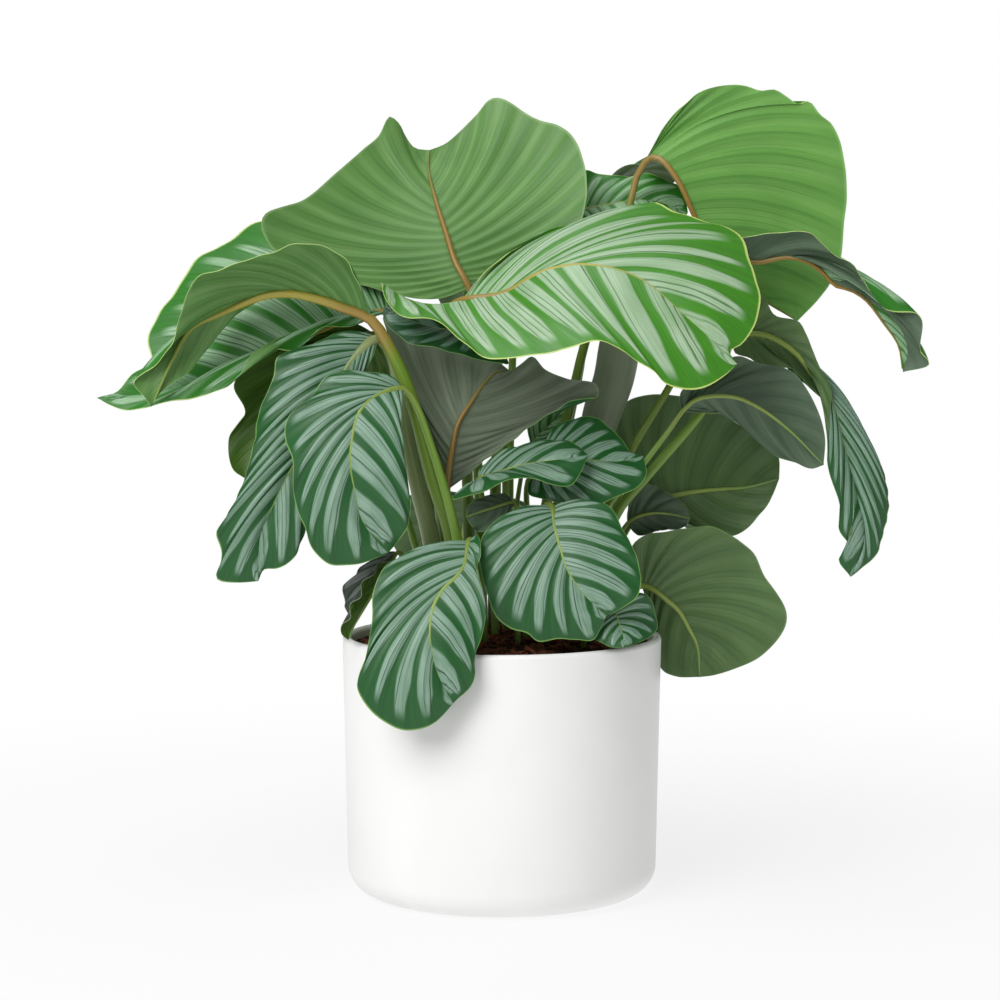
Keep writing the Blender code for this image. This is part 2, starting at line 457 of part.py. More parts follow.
        stem=[(1.2, -5.4, 17), (1.2, -5.6, 27), (1.2, -5.5, 30.4)],
        rib=[(1.0, -5.6, 31.0), (-0.8, -6.2, 30.6), (-2.7, -6.8, 30.0)],
        left=[(0.2, -5.8, 31.7), (-1.7, -6.3, 31.4), (-2.6, -6.8, 30.8)],
        right=[(0.2, -6.0, 29.7), (-0.9, -6.8, 28.9), (-2.1, -7.0, 29.1)],
        mesh=(7, 3), girth=0.22),
    "leaf_right_middle": dict(
        stem=[(4.2, -1.4, 17), (7.0, -2.4, 28.5), (11.2, -2.5, 34.1), (13.0, -2.5, 36.5)],
        rib=[(13.9, -2.5, 37.8), (14.9, -2.7, 38.7), (16.1, -3.0, 39.0), (18.0, -3.2, 38.9), (19.8, -3.3, 38.1),
             (22.1, -3.2, 36.4), (24.8, -3.0, 33.7)],
        left=[(14.5, -2.3, 37.7), (15.7, -2.0, 37.7), (17.6, -1.8, 37.5), (19.3, -1.8, 36.3), (20.6, -2.0, 34.8),
              (21.5, -2.2, 34.2), (22.7, -2.4, 33.8), (23.9, -2.7, 33.4)],
        right=[(13.7, -2.5, 38.7), (13.9, -2.3, 39.4), (15.7, -2.0, 40.6), (18.1, -1.5, 42.0), (19.6, -1.5, 41.6),
               (22.3, -2.0, 40.9), (23.6, -2.5, 39.4), (24.5, -2.8, 37.5), (24.9, -3.0, 35.6)],
        waves=((4, 0.1, 0.0), (4, 0.1, 0.3)), mesh=(11, 4), girth=0.3),
    "leaf_right_drooping": dict(
        stem=[(5.2, -0.8, 17), (8.8, -1.3, 29.6), (11.2, -1.0, 32.6), (15.5, -0.6, 37.6), (17.0, 0.0, 40.1)],
        rib=[(18.1, 0.3, 43.3), (20.1, 0.2, 43.7), (22.5, 0.0, 42.5), (24.0, -0.3, 40.9), (25.5, -1.0, 39.0),
             (26.4, -1.8, 35.6), (27.4, -2.2, 31.7), (28.1, -2.5, 27.9), (27.0, -2.8, 25.0)],
        left=[(18.1, -0.3, 42.3), (19.2, -0.4, 41.9), (20.7, -0.5, 41.0), (22.4, -0.5, 41.1), (23.8, -0.8, 39.8),
              (25.1, -0.6, 38.6), (27.4, -0.3, 37.7), (28.6, -0.5, 35.5), (29.7, -1.0, 32.8), (30.1, -1.5, 30.4),
              (29.5, -2.0, 28.1), (29.0, -2.3, 26.6), (28.2, -2.5, 25.9)],
        right=[(19.1, 1.0, 45.6), (20.3, 0.8, 46.8), (21.3, 0.5, 45.2), (23.1, 0.2, 44.7), (23.8, 0.0, 43.5),
               (24.7, -0.7, 41.1), (25.6, -1.5, 39.4), (25.2, -2.5, 37.1), (25.1, -3.2, 33.9), (26.0, -3.3, 30.5),
               (26.0, -3.2, 28.7), (27.0, -3.0, 27.2), (26.0, -3.2, 26.4)],
        waves=((5, 0.1, 0.0), (5, 0.1, 0.3)), mesh=(16, 3), girth=0.42),
    "leaf_right_folded": dict(
        stem=[(5.2, 1.2, 17), (9.0, 1.6, 32), (13.3, 1.5, 39.8), (17.0, 1.2, 46.5)],
        rib=[(18.3, 1.0, 49.3), (20.0, 0.5, 49.4), (22.0, 0.0, 49.8), (23.6, -0.5, 49.5), (24.9, -0.8, 48.6),
             (25.8, -1.0, 47.6), (27.1, -1.0, 47.2), (28.3, -1.0, 46.4), (29.6, -1.0, 44.7), (30.8, -1.0, 42.9),
             (32.6, -1.2, 41.0)],
        left=[(18.7, 2.5, 50.5), (22.7, 2.5, 51.1), (26.0, 1.6, 49.3), (28.0, 0.6, 48.0), (29.8, 0.0, 46.8),
              (31.3, -0.4, 45.8), (32.2, -0.5, 44.5), (32.3, -0.4, 42.6)],
        right=[(18.2, -0.5, 51.0), (20.4, -1.5, 51.4), (21.9, -2.0, 51.6), (23.7, -2.3, 51.6), (24.4, -2.3, 50.8),
               (25.7, -2.5, 49.7), (27.1, -2.5, 49.1), (27.7, -2.6, 47.9), (29.3, -2.6, 45.8), (32.2, -2.4, 45.1),
               (32.3, -2.2, 42.5)],
        waves=((5, 0.1, 0.0), (5, 0.1, 0.3)), mesh=(13, 3), girth=0.35),
    "leaf_right_tall": dict(
        stem=[(1.5, 3.2, 17), (3.5, 3.2, 30), (5.4, 3.0, 38), (6.6, 3.5, 43), (8.3, 4.0, 47.9), (10.0, 4.0, 53.3),
              (10.7, 4.0, 56.2)],
        rib=[(11.3, 3.7, 57.2), (12.0, 3.3, 57.6), (12.7, 3.0, 57.3), (13.4, 2.8, 56.5), (14.2, 2.6, 55.2),
             (15.4, 2.5, 52.5), (17.2, 2.5, 49.5), (20.0, 2.5, 46.8), (23.3, 2.5, 44.7)],
        left=[(11.2, 5.6, 57.0), (12.4, 8.5, 57.5), (14.6, 11.5, 56.5), (16.4, 12.6, 54.0), (18.0, 11.6, 51.0),
              (20.2, 8.6, 48.0), (22.0, 5.4, 46.0)],
        right=[(12.0, 3.8, 58.7), (13.3, 4.5, 60.6), (14.6, 5.0, 61.9), (16.1, 5.5, 63.0), (18.5, 6.0, 63.4),
               (20.5, 6.0, 62.9), (21.7, 6.0, 63.0), (23.1, 6.0, 62.4), (24.6, 6.0, 62.1), (25.3, 6.0, 61.0),
               (26.3, 6.0, 60.3), (27.1, 6.0, 58.9), (27.5, 5.8, 56.8), (27.5, 5.5, 53.7), (27.0, 4.8, 49.9),
               (25.9, 4.2, 47.9), (24.9, 3.6, 46.4)],
        waves=((4, 0.1, 0.0), (4, 0.1, 0.3)), arch=(0.0, 0.03), mesh=(14, 4), girth=0.42),
    "leaf_right_rear": dict(
        stem=[(5.8, 3.3, 17), (8.4, 3.4, 25), (10.5, 3.4, 29)],
        rib=[(11.8, 3.4, 30.2), (13.1, 3.8, 30.6), (15.1, 4.2, 31.0), (17.3, 4.6, 31.2), (19.7, 4.6, 31.4),
             (22.1, 4.0, 32.1)],
        left=[(12.9, 3.3, 29.6), (14.9, 3.5, 28.5), (16.9, 3.7, 28.1), (18.4, 3.8, 27.6), (19.5, 3.8, 28.1),
              (20.5, 3.8, 29.2), (21.4, 3.9, 30.4)],
        right=[(10.1, 3.6, 32.2), (9.3, 4.2, 34.5), (9.6, 4.6, 36.4), (10.5, 5.0, 37.9), (12.3, 5.4, 38.7),
               (15.1, 5.8, 38.5), (18.3, 5.8, 37.6), (20.8, 5.4, 36.1), (22.1, 4.6, 33.9)],
        waves=((4, 0.1, 0.0), (4, 0.1, 0.3)), mesh=(11, 4)),
    "leaf_right_small": dict(
        stem=[(6.3, 1.6, 17), (8.2, 1.8, 24)],
        rib=[(9.9, 2.0, 28.7), (11.6, 1.9, 29.5), (13.1, 1.8, 29.5), (14.9, 1.8, 29.1)],
        left=[(10.8, 1.8, 27.8), (12.5, 1.8, 28.2), (14.3, 1.8, 28.4)],
        right=[(10.2, 2.2, 30.7), (11.5, 2.2, 31.8), (13.2, 2.0, 31.1), (14.5, 1.9, 30.1)],
        mesh=(8, 3), girth=0.25),
    "leaf_right_low": dict(
        stem=[(6.6, 0.0, 17), (8.6, 0.3, 22.5)],
        rib=[(11.0, 0.8, 23.9), (12.0, 0.9, 23.6), (12.9, 1.0, 22.9), (14.0, 1.2, 21.9), (14.8, 1.4, 20.5),
             (15.5, 1.6, 19.0), (15.7, 1.8, 16.5)],
        left=[(11.5, 1.4, 23.1), (12.2, 1.8, 21.7), (13.3, 2.3, 19.5), (13.3, 2.5, 17.2), (14.3, 2.2, 16.3)],
        right=[(10.9, 0.7, 25.6), (11.2, 0.6, 27.1), (12.6, 0.5, 27.9), (14.4, 0.5, 28.0), (16.6, 0.5, 28.6),
               (18.3, 0.7, 27.7), (19.8, 1.0, 26.5), (20.8, 1.3, 24.5), (22.0, 1.6, 22.7), (22.4, 1.8, 21.2),
               (21.9, 1.9, 20.0), (20.1, 2.0, 18.3), (18.2, 2.0, 17.3), (16.8, 2.0, 16.7)],
        waves=((4, 0.1, 0.0), (4, 0.1, 0.3)), mesh=(11, 4)),
    "leaf_rear_striped": dict(
        stem=[(2.6, 4.8, 17), (5.0, 5.4, 34), (6.6, 5.8, 43), (6.3, 6.0, 48)],
        rib=[(5.9, 6.2, 53.0), (8.7, 6.5, 54.0), (11.8, 6.9, 54.3), (14.9, 6.6, 53.3)],
        left=[(6.6, 7.3, 56.6), (9.0, 7.8, 56.2), (11.4, 8.0, 56.4), (13.6, 7.4, 55.2)],
        right=[(7.0, 5.6, 51.1), (10.3, 5.6, 51.1), (13.5, 5.9, 51.2)],
        mesh=(9, 3), girth=0.3),
    "leaf_rear_small": dict(
        stem=[(0.3, 4.6, 17), (1.2, 5.0, 30)],
        rib=[(2.3, 4.4, 34.8), (3.8, 4.4, 36.4), (5.2, 4.4, 37.9)],
        left=[(2.1, 4.5, 36.6), (3.0, 4.5, 37.9), (4.2, 4.5, 38.4)],
        right=[(3.6, 4.2, 35.2), (4.8, 4.2, 36.2), (5.3, 4.3, 37.2)],
        mesh=(7, 3), girth=0.25),
    # The far side of the plant: round leaves that arch outward and down.
    "leaf_far_left": dict(
        stem=[(-3.5, 4.5, 17), (-6.0, 7.0, 32), (-8.2, 9.0, 42)],
        rib=[(-9.5, 10.5, 45.5), (-12.5, 13.5, 46.5), (-15.5, 16.5, 45.0), (-18.0, 19.0, 41.0)],
        width=7.5, face=(-0.2, -0.1, 1.0), mesh=(11, 3)),
    "leaf_far_middle": dict(
        stem=[(0.5, 6.5, 17), (0.6, 9.0, 33), (1.0, 12.5, 45)],
        rib=[(1.0, 14.5, 47.4), (0.8, 19.0, 48.2), (0.2, 23.0, 46.2), (-0.8, 26.0, 42.4)],
        width=7.2, face=(0.0, 0.2, 1.0), mesh=(11, 3)),
    "leaf_far_right": dict(
        stem=[(3.6, 6.4, 17), (6.5, 9.0, 34), (9.0, 11.5, 44)],
        rib=[(10.2, 13.0, 47.0), (12.6, 16.5, 48.5), (14.6, 20.0, 47.0), (16.0, 23.0, 43.0)],
        width=6.5, face=(0.2, 0.1, 1.0), mesh=(11, 3)),
    "leaf_far_high": dict(
        stem=[(-1.4, 5.4, 17), (-2.2, 8.5, 38), (-3.0, 10.8, 48)],
        rib=[(-3.5, 12.5, 51.5), (-5.0, 15.0, 54.0), (-6.5, 18.5, 54.5), (-8.0, 21.5, 52.0)],
        width=7.0, face=(-0.1, 0.1, 1.0), mesh=(11, 3)),
    "leaf_far_low_right": dict(
        stem=[(5.4, 4.6, 17), (8.0, 8.0, 26), (10.0, 10.5, 31)],
        rib=[(11.0, 12.0, 32.5), (13.5, 15.0, 32.5), (15.5, 18.0, 30.0), (17.0, 20.0, 26.0)],
        width=6.0, face=(0.2, 0.1, 1.0), mesh=(10, 3), girth=0.32),
    "leaf_far_low": dict(
        stem=[(-0.4, 8.2, 17), (-1.0, 10.6, 25), (-1.5, 13.5, 29)],
        rib=[(-2.0, 15.5, 29.5), (-3.0, 18.5, 28.0), (-3.6, 21.0, 24.5), (-4.0, 22.5, 20.0)],
        width=6.5, face=(0.0, 0.4, 1.0), mesh=(10, 3), girth=0.32),
    "leaf_far_low_left": dict(
        stem=[(-4.6, 6.4, 17), (-7.0, 9.0, 26), (-9.0, 11.0, 32)],
        rib=[(-10.0, 12.5, 33.5), (-12.0, 15.0, 34.0), (-14.0, 17.5, 32.5), (-15.5, 19.5, 29.0)],
        width=5.5, face=(-0.2, 0.1, 1.0), mesh=(10, 3), girth=0.32),
    "leaf_rear_high": dict(
        stem=[(2.0, 7.6, 17), (4.2, 9.4, 38), (5.8, 10.8, 49)],
        rib=[(7.0, 12.0, 52.5), (9.0, 13.5, 55.8), (11.5, 15.5, 56.6), (14.0, 17.5, 55.5)],
        width=4.8, face=(0.0, 0.3, 1.0), mesh=(9, 3), girth=0.3),
}


# ---- Pot, soil and furled leaf ---------------------------------------------------
def wall_radius(z):
    """Outer radius of the pot at height z."""
    share = min(max(z / POT_HEIGHT, 0), 1)
    return POT_BASE_RADIUS + (POT_RIM_RADIUS - POT_BASE_RADIUS) * share


def arc(centre, radii, start, stop, steps):
    """Points of a profile arc as (radius, z), angles in degrees."""
    out = []
    for k in range(steps + 1):
        angle = math.radians(start + (stop - start) * k / steps)
        out.append((centre[0] + radii * math.cos(angle), centre[1] + radii * math.sin(angle)))
    return out


def turned(profile, sides):
    """Closed solid turned about Z from a profile that starts and ends on the axis."""
    rings = [p for p in profile if p[0] > 1e-9]
    verts = [(r * math.cos(2 * math.pi * k / sides), r * math.sin(2 * math.pi * k / sides), z)
             for r, z in rings for k in range(sides)]
    first, last = len(verts), len(verts) + 1
    verts += [(0, 0, profile[0][1]), (0, 0, profile[-1][1])]
    faces = []
    for i in range(len(rings) - 1):
        for k in range(sides):
            n = (k + 1) % sides
            faces.append((i * sides + k, i * sides + n, (i + 1) * sides + n, (i + 1) * sides + k))
    end = (len(rings) - 1) * sides
    for k in range(sides):
        n = (k + 1) % sides
        faces.append((first, n, k))
        faces.append((last, end + k, end + n))
    return verts, faces


def pot_mesh():
    foot = POT_FOOT_ROUND
    lip = POT_WALL / 2
    inner_floor = POT_BASE_RADIUS - POT_WALL
    profile = [(0, 0), (POT_BASE_RADIUS - foot, 0)]
    profile += arc((wall_radius(foot) - foot, foot), foot, -75, 0, 4)
    profile += arc((POT_RIM_RADIUS - lip, POT_HEIGHT - lip), lip, 0, 180, 4)
    profile += [(inner_floor, POT_FLOOR + foot / 2), (inner_floor - foot / 2, POT_FLOOR), (0, POT_FLOOR)]
    return turned(profile, POT_SIDES)


FURLED_SIDES = 12
FURLED_AXIS = [(4.0, 2.4, 17.0), (5.6, 2.5, 26.0), (7.6, 2.5, 36.8), (8.7, 2.6, 42.4), (10.2, 2.8, 47.9),
               (11.4, 3.0, 52.5)]
FURLED_RADII = ((0.0, 0.42), (0.4, 0.46), (0.52, 0.95), (0.66, 1.4), (0.8, 1.25), (0.92, 0.6), (1.0, 0.12))


def furled_rings(grow=0.0):
    """Rings of points up the rolled leaf, each wider than it by grow, and its two ends."""
    shares = (0.0, 0.12, 0.25, 0.4, 0.46, 0.52, 0.59, 0.66, 0.73, 0.8, 0.86, 0.92, 0.97, 1.0)
    places = resample(spline(FURLED_AXIS), shares)
    along = tangents(places)
    radii = np.interp(shares, *zip(*FURLED_RADII)) + grow
    across = unit(np.cross(along, (0.0, 1.0, 0.0)))
    back = np.cross(along, across)
    turns = [2 * math.pi * k / FURLED_SIDES for k in range(FURLED_SIDES)]
    rings = [[p + r * (math.cos(a) * u + math.sin(a) * v) for a in turns]
             for p, r, u, v in zip(places, radii, across, back)]
    return rings, places[0], places[-1] + 0.2 * along[-1]


def tube(rings, first, last):
    """Closed tube through rings of points, ending in a fan at the first and last point."""
    sides = len(rings[0])
    verts = [p for ring in rings for p in ring]
    faces = []
    for i in range(len(rings) - 1):
        for k in range(sides):
            n = (k + 1) % sides
            a, b, c, d = i * sides + k, i * sides + n, (i + 1) * sides + n, (i + 1) * sides + k
            faces += [(a, b, c), (a, c, d)]
    end = (len(rings) - 1) * sides
    foot, tip = len(verts), len(verts) + 1
    for k in range(sides):
        n = (k + 1) % sides
        faces += [(foot, n, k), (tip, end + k, end + n)]
    return np.array(verts + [first, last]) * CM, faces


def furled_mesh():
    """A young leaf still rolled up: a slim stem that swells into a pointed roll."""
    return tube(*furled_rings())


def soil_height(x, y):
    """Height of the soil's surface: a low mound with crumbs and bark showing as bumps."""
    reach = math.hypot(x, y) / POT_RIM_RADIUS
    bumps = math.sin(410 * x + 1.3) * math.sin(370 * y + 0.4) + math.sin(250 * x - 330 * y)
    return POT_HEIGHT - SOIL_DROP + SOIL_MOUND * (1 - reach ** 2) + 0.5 * SOIL_BUMP * bumps


def soil_mesh():
    """Fill of the pot with a relief on top, clear of the pot by the fit gap."""
    sides, rings = SOIL_SIDES, SOIL_RINGS
    floor = POT_FLOOR + FIT_GAP
    inner = POT_BASE_RADIUS - POT_WALL
    chamfer = POT_FOOT_ROUND / 2
    top_z = POT_HEIGHT - SOIL_DROP
    lower = [(inner - chamfer - FIT_GAP, floor), (inner - FIT_GAP * 1.5, floor + chamfer)]
    top_radius = wall_radius(top_z) - POT_WALL - FIT_GAP * 1.5
    verts, faces = [(0, 0, floor)], []
    levels = []
    for radius, z in lower:
        levels.append(len(verts))
        for k in range(sides):
            angle = 2 * math.pi * k / sides
            verts.append((radius * math.cos(angle), radius * math.sin(angle), z))
    for ring in range(rings, 0, -1):
        radius = top_radius * ring / rings
        levels.append(len(verts))
        for k in range(sides):
            angle = 2 * math.pi * k / sides
            x, y = radius * math.cos(angle), radius * math.sin(angle)
            verts.append((x, y, soil_height(x, y)))
    verts.append((0, 0, soil_height(0, 0)))
    for low, high in zip(levels, levels[1:]):
        for k in range(sides):
            n = (k + 1) % sides
            faces.append((low + k, low + n, high + n))
            faces.append((low + k, high + n, high + k))
    for k in range(sides):
        n = (k + 1) % sides
        faces.append((0, levels[0] + n, levels[0] + k))
        faces.append((len(verts) - 1, levels[-1] + k, levels[-1] + n))
    return verts, faces


def hole_tubes():
    """Tubes that cut the holes in the soil: each stem's lower end, wider by the fit gap."""
    gap = FIT_GAP / CM
    tubes = []
    for leaf in LEAVES.values():
        rows, _ = leaf.get("mesh", (10, 4))
        _, _, _, sideways, _ = blade_sheet(leaf, rows, (1.0,))
        rings, root = stem_rings(leaf, sideways[0], gap * HEXAGON_REACH)
        while len(rings) > 2 and min(p[2] for p in rings[1]) > SOIL_CLEAR:
            rings.pop(0)
        down = unit(np.mean(rings[-1], axis=0) - np.mean(rings[-2], axis=0))
        rings[-1] = [p + gap * down for p in rings[-1]]
        tubes.append(tube(rings[::-1], root + gap * down, np.mean(rings[0], axis=0)))
    rings, root, _ = furled_rings(gap * HEXAGON_REACH)
    up = unit(np.mean(rings[1], axis=0) - np.mean(rings[0], axis=0))
    rings[0] = [p - gap * up for p in rings[0]]
    tubes.append(tube(rings[:3], root - gap * up, np.mean(rings[2], axis=0)))
    return tubes


# ---- Blender objects -------------------------------------------------------------
def finish(name, colour, roughness):
    """A plain Principled material."""
    material = bpy.data.materials.new(name)
    material.use_nodes = True
    shader = material.node_tree.nodes["Principled BSDF"]
    shader.inputs["Base Color"].default_value = (*colour, 1)
    shader.inputs["Roughness"].default_value = roughness
    return material


def solid(name, mesh_data, material):
    """One named object from vertices in metres and faces, shaded smooth."""
    verts, faces = mesh_data
    mesh = bpy.data.meshes.new(name)
    mesh.from_pydata([tuple(map(float, v)) for v in verts], [], faces)
    for face in mesh.polygons:
        face.use_smooth = True
    mesh.update()
    obj = bpy.data.objects.new(name, mesh)
    obj.data.materials.append(material)
    bpy.context.scene.collection.objects.link(obj)
    return obj


def cut_holes(soil):
    """Cut a plain hole in the soil for each stem to stand in."""
    verts, faces = [], []
    for points, tris in hole_tubes():
        start = len(verts)
        verts.extend(points)
        faces.extend(tuple(start + k for k in tri) for tri in tris)
    cutter = solid("stem_holes", (verts, faces), finish("cutter", (0.5, 0.5, 0.5), 0.9))
    cutter.hide_render = True
    cutter.display_type = "WIRE"
    holes = soil.modifiers.new("stem_holes", "BOOLEAN")
    holes.operation = "DIFFERENCE"
    holes.solver = "EXACT"
    holes.object = cutter


def main():
    for obj in list(bpy.data.objects):
        bpy.data.objects.remove(obj)
    solid("pot", pot_mesh(), finish("white_ceramic", (0.86, 0.86, 0.84), 0.45))
    cut_holes(solid("soil", soil_mesh(), finish("potting_soil", (0.07, 0.04, 0.025), 0.95)))
    for name, leaf in LEAVES.items():
        solid(name, leaf_mesh(leaf), finish(name, LEAF_GREEN, LEAF_ROUGHNESS))
    solid("leaf_furled", furled_mesh(), finish("leaf_furled", FURLED_GREEN, LEAF_ROUGHNESS))


if __name__ == "__main__":
    main()
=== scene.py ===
"""Looks of the potted calathea: finer leaves, veined and banded finishes, ceramic, soil.

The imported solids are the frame.  Each leaf is rebuilt here from the same named points as
its solid, with more rows, pleats along its veins, a rounded stalk and midrib, and a
finish for each face.  Lengths in the leaf table are centimetres in the frame's axes.
"""
import math

import bpy
import numpy as np
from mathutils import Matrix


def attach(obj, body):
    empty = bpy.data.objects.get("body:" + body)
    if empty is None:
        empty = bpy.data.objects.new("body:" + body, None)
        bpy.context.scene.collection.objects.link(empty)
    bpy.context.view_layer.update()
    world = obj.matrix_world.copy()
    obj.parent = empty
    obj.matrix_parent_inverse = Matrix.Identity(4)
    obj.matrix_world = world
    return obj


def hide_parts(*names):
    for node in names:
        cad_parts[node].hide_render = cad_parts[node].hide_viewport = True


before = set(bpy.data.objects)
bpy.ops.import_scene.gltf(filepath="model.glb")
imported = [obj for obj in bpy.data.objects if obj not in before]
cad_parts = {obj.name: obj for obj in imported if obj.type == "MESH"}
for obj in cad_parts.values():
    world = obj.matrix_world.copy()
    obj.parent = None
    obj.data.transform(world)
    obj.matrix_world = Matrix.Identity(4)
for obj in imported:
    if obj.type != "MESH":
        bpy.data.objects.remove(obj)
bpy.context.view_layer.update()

CM = 0.01
RIB_SAMPLES = 24

# Finer leaf meshes: rows along the midrib, columns across each half.
BLADE_ROWS = 84
BLADE_COLUMNS = 15
BLADE_HALF_THICKNESS = 0.022
VEIN_SWEEP = 0.13
STALK_SIDES = 14
STALK_RINGS = 30
RIB_RINGS = 26
PLEAT_HEIGHT = 0.085
BAND_SPACING = 3.4


# ---- Curves ----------------------------------------------------------------------
def spline(points, samples=RIB_SAMPLES):
    """Dense smooth curve through the points (centripetal Catmull-Rom)."""
    pts = np.asarray(points, float)
    ends = np.vstack([2 * pts[0] - pts[1], pts, 2 * pts[-1] - pts[-2]])
    out = []
    for i in range(1, len(ends) - 2):
        p0, p1, p2, p3 = ends[i - 1:i + 3]
        t1 = math.sqrt(np.linalg.norm(p1 - p0)) + 1e-9
        t2 = t1 + math.sqrt(np.linalg.norm(p2 - p1)) + 1e-9
        t3 = t2 + math.sqrt(np.linalg.norm(p3 - p2)) + 1e-9
        t = np.linspace(t1, t2, samples, endpoint=False)[:, None]
        a1 = (t1 - t) / t1 * p0 + t / t1 * p1
        a2 = (t2 - t) / (t2 - t1) * p1 + (t - t1) / (t2 - t1) * p2
        a3 = (t3 - t) / (t3 - t2) * p2 + (t - t2) / (t3 - t2) * p3
        b1 = (t2 - t) / t2 * a1 + t / t2 * a2
        b2 = (t3 - t) / (t3 - t1) * a2 + (t - t1) / (t3 - t1) * a3
        out.append((t2 - t) / (t2 - t1) * b1 + (t - t1) / (t2 - t1) * b2)
    out.append(pts[-1:])
    return np.vstack(out)


def resample(curve, fractions):
    """Points at fractions of the curve's length."""
    steps = np.linalg.norm(np.diff(curve, axis=0), axis=1)
    reach = np.concatenate([[0], np.cumsum(steps)])
    at = np.asarray(fractions) * reach[-1]
    return np.stack([np.interp(at, reach, curve[:, k]) for k in range(3)], axis=1)


def unit(vectors):
    length = np.linalg.norm(vectors, axis=-1, keepdims=True)
    return vectors / np.maximum(length, 1e-12)


def tangents(points):
    return unit(np.gradient(points, axis=0))


def smooth(rows, passes):
    """Average each row of vectors with its neighbours."""
    rows = rows.copy()
    for _ in range(passes):
        padded = np.vstack([rows[:1], rows, rows[-1:]])
        rows = (padded[:-2] + 2 * padded[1:-1] + padded[2:]) / 4
    return rows



# ---- Leaf blade ------------------------------------------------------------------
DEFAULT_FAN = (2.2, 2.2)
TIP_SHARE = 0.3
TIP_FAN = 12
DEFAULT_BOW = (0.15, 0.15)
ACROSS = [(j / BLADE_COLUMNS) ** 0.9 for j in range(1, BLADE_COLUMNS + 1)]


def round_margin(rib, width, face, sign):
    """Margin of a round leaf: points beside the midrib, on the side that sign names."""
    shares = (0.08, 0.22, 0.4, 0.58, 0.75, 0.9)
    curve = spline(rib)
    places = resample(curve, shares)
    along = tangents(resample(curve, np.linspace(0, 1, 41)))[[round(40 * s) for s in shares]]
    sideways = unit(np.cross(along, face))
    reach = width * np.sin(np.pi * np.array(shares) ** 0.85) ** 0.55
    return list(places + sign * reach[:, None] * unit(sideways + 0.12 * sign * np.asarray(face)))


def shaped(leaf):
    """The leaf with its margins worked out, where it gives only a half width."""
    if "width" not in leaf:
        return leaf
    face = unit(np.asarray(leaf["face"], float))
    margins = {side: round_margin(leaf["rib"], leaf["width"], face, sign)
               for side, sign in (("left", -1), ("right", 1))}
    return {**leaf, **margins}


def axis_curve(leaf):
    """Smooth curve from root to tip, split where the blade begins: stem part, rib part."""
    curve = spline([*leaf["stem"], *leaf["rib"]])
    base = len(leaf["stem"]) * RIB_SAMPLES
    return curve[:base + 1], curve[base:]


def rib_line(leaf, fractions):
    """Points and directions of the midrib, running smoothly on from the stem."""
    stem, rib = axis_curve(leaf)
    places = resample(rib, fractions)
    along = tangents(places)
    along[0] = unit(rib[1] - stem[-2])
    return places, along


def blade_sheet(leaf, rows, across):
    """Middle surface of a blade, each row lying along one lateral vein.

    Veins leave the midrib crowded toward its base ("fan"), the last share of it having
    hardly any, and bow toward the tip.  Where
    a half has a "lobe", its veins rise from the lobe's folded edge before they reach the
    midrib.  Returns both halves as grids [row, column, xyz] from the midrib outward,
    their margins, and the upward vectors of the midrib.
    """
    leaf = shaped(leaf)
    a = np.linspace(0, 1, rows + 1)
    halves, ups = [], []
    for side, sign in (("left", 1.0), ("right", -1.0)):
        k = len(halves)
        lobe = leaf.get("lobes", (0, 0))[k]
        fan = leaf.get("fan", DEFAULT_FAN)[k]
        fractions = (1 - TIP_SHARE) * a ** fan + TIP_SHARE * a ** TIP_FAN
        margin = [leaf["rib"][0], *leaf[side], leaf["rib"][-1]]
        even, heading = rib_line(leaf, a ** 1.35)
        ups.append(sign * np.cross(heading, resample(spline(margin), a) - even))
        edge = resample(spline(margin[lobe:]), a)
        if lobe:
            start = resample(np.vstack([spline(margin[lobe::-1])[:-1], axis_curve(leaf)[1]]), fractions)
            heading = tangents(start)
        else:
            start, heading = rib_line(leaf, fractions)
        halves.append((start, heading, edge))
    up = unit(smooth(unit(smooth(ups[0] + ups[1], 2)), 2))
    grids = []
    for k, (start, along, edge) in enumerate(halves):
        reach = edge - start
        span = np.linalg.norm(reach, axis=1, keepdims=True)
        normal = unit(smooth(unit(ups[k]), 2) + 0.15 * up)
        flat = np.clip(4 * a, 0, 1)[:, None] * span
        settled = np.clip(2.2 * a, 0, 1)[:, None] * span
        back = unit(np.cross(normal, reach)) * (1, -1)[k]
        arch = leaf.get("arch", (0.08, 0.08))[k]
        bow = leaf.get("bow", DEFAULT_BOW)[k]
        guide = start + 0.5 * reach + bow * settled * back + 2 * arch * flat * normal
        count, swing, phase = leaf.get("waves", ((5, 0.25, 0.0), (5, 0.25, 0.5)))[k]
        ripple = swing * np.sin(2 * math.pi * (count * a + phase)) * np.sin(math.pi * a) ** 0.5
        t = np.array([0.0, *across])[None, :, None]
        start, guide, edge = start[:, None], guide[:, None], edge[:, None]
        grid = (1 - t) ** 2 * start + 2 * t * (1 - t) * guide + t * t * edge
        grids.append(grid + ripple[:, None, None] * t ** 3 * normal[:, None])
    return grids, [edge for _, _, edge in halves], up




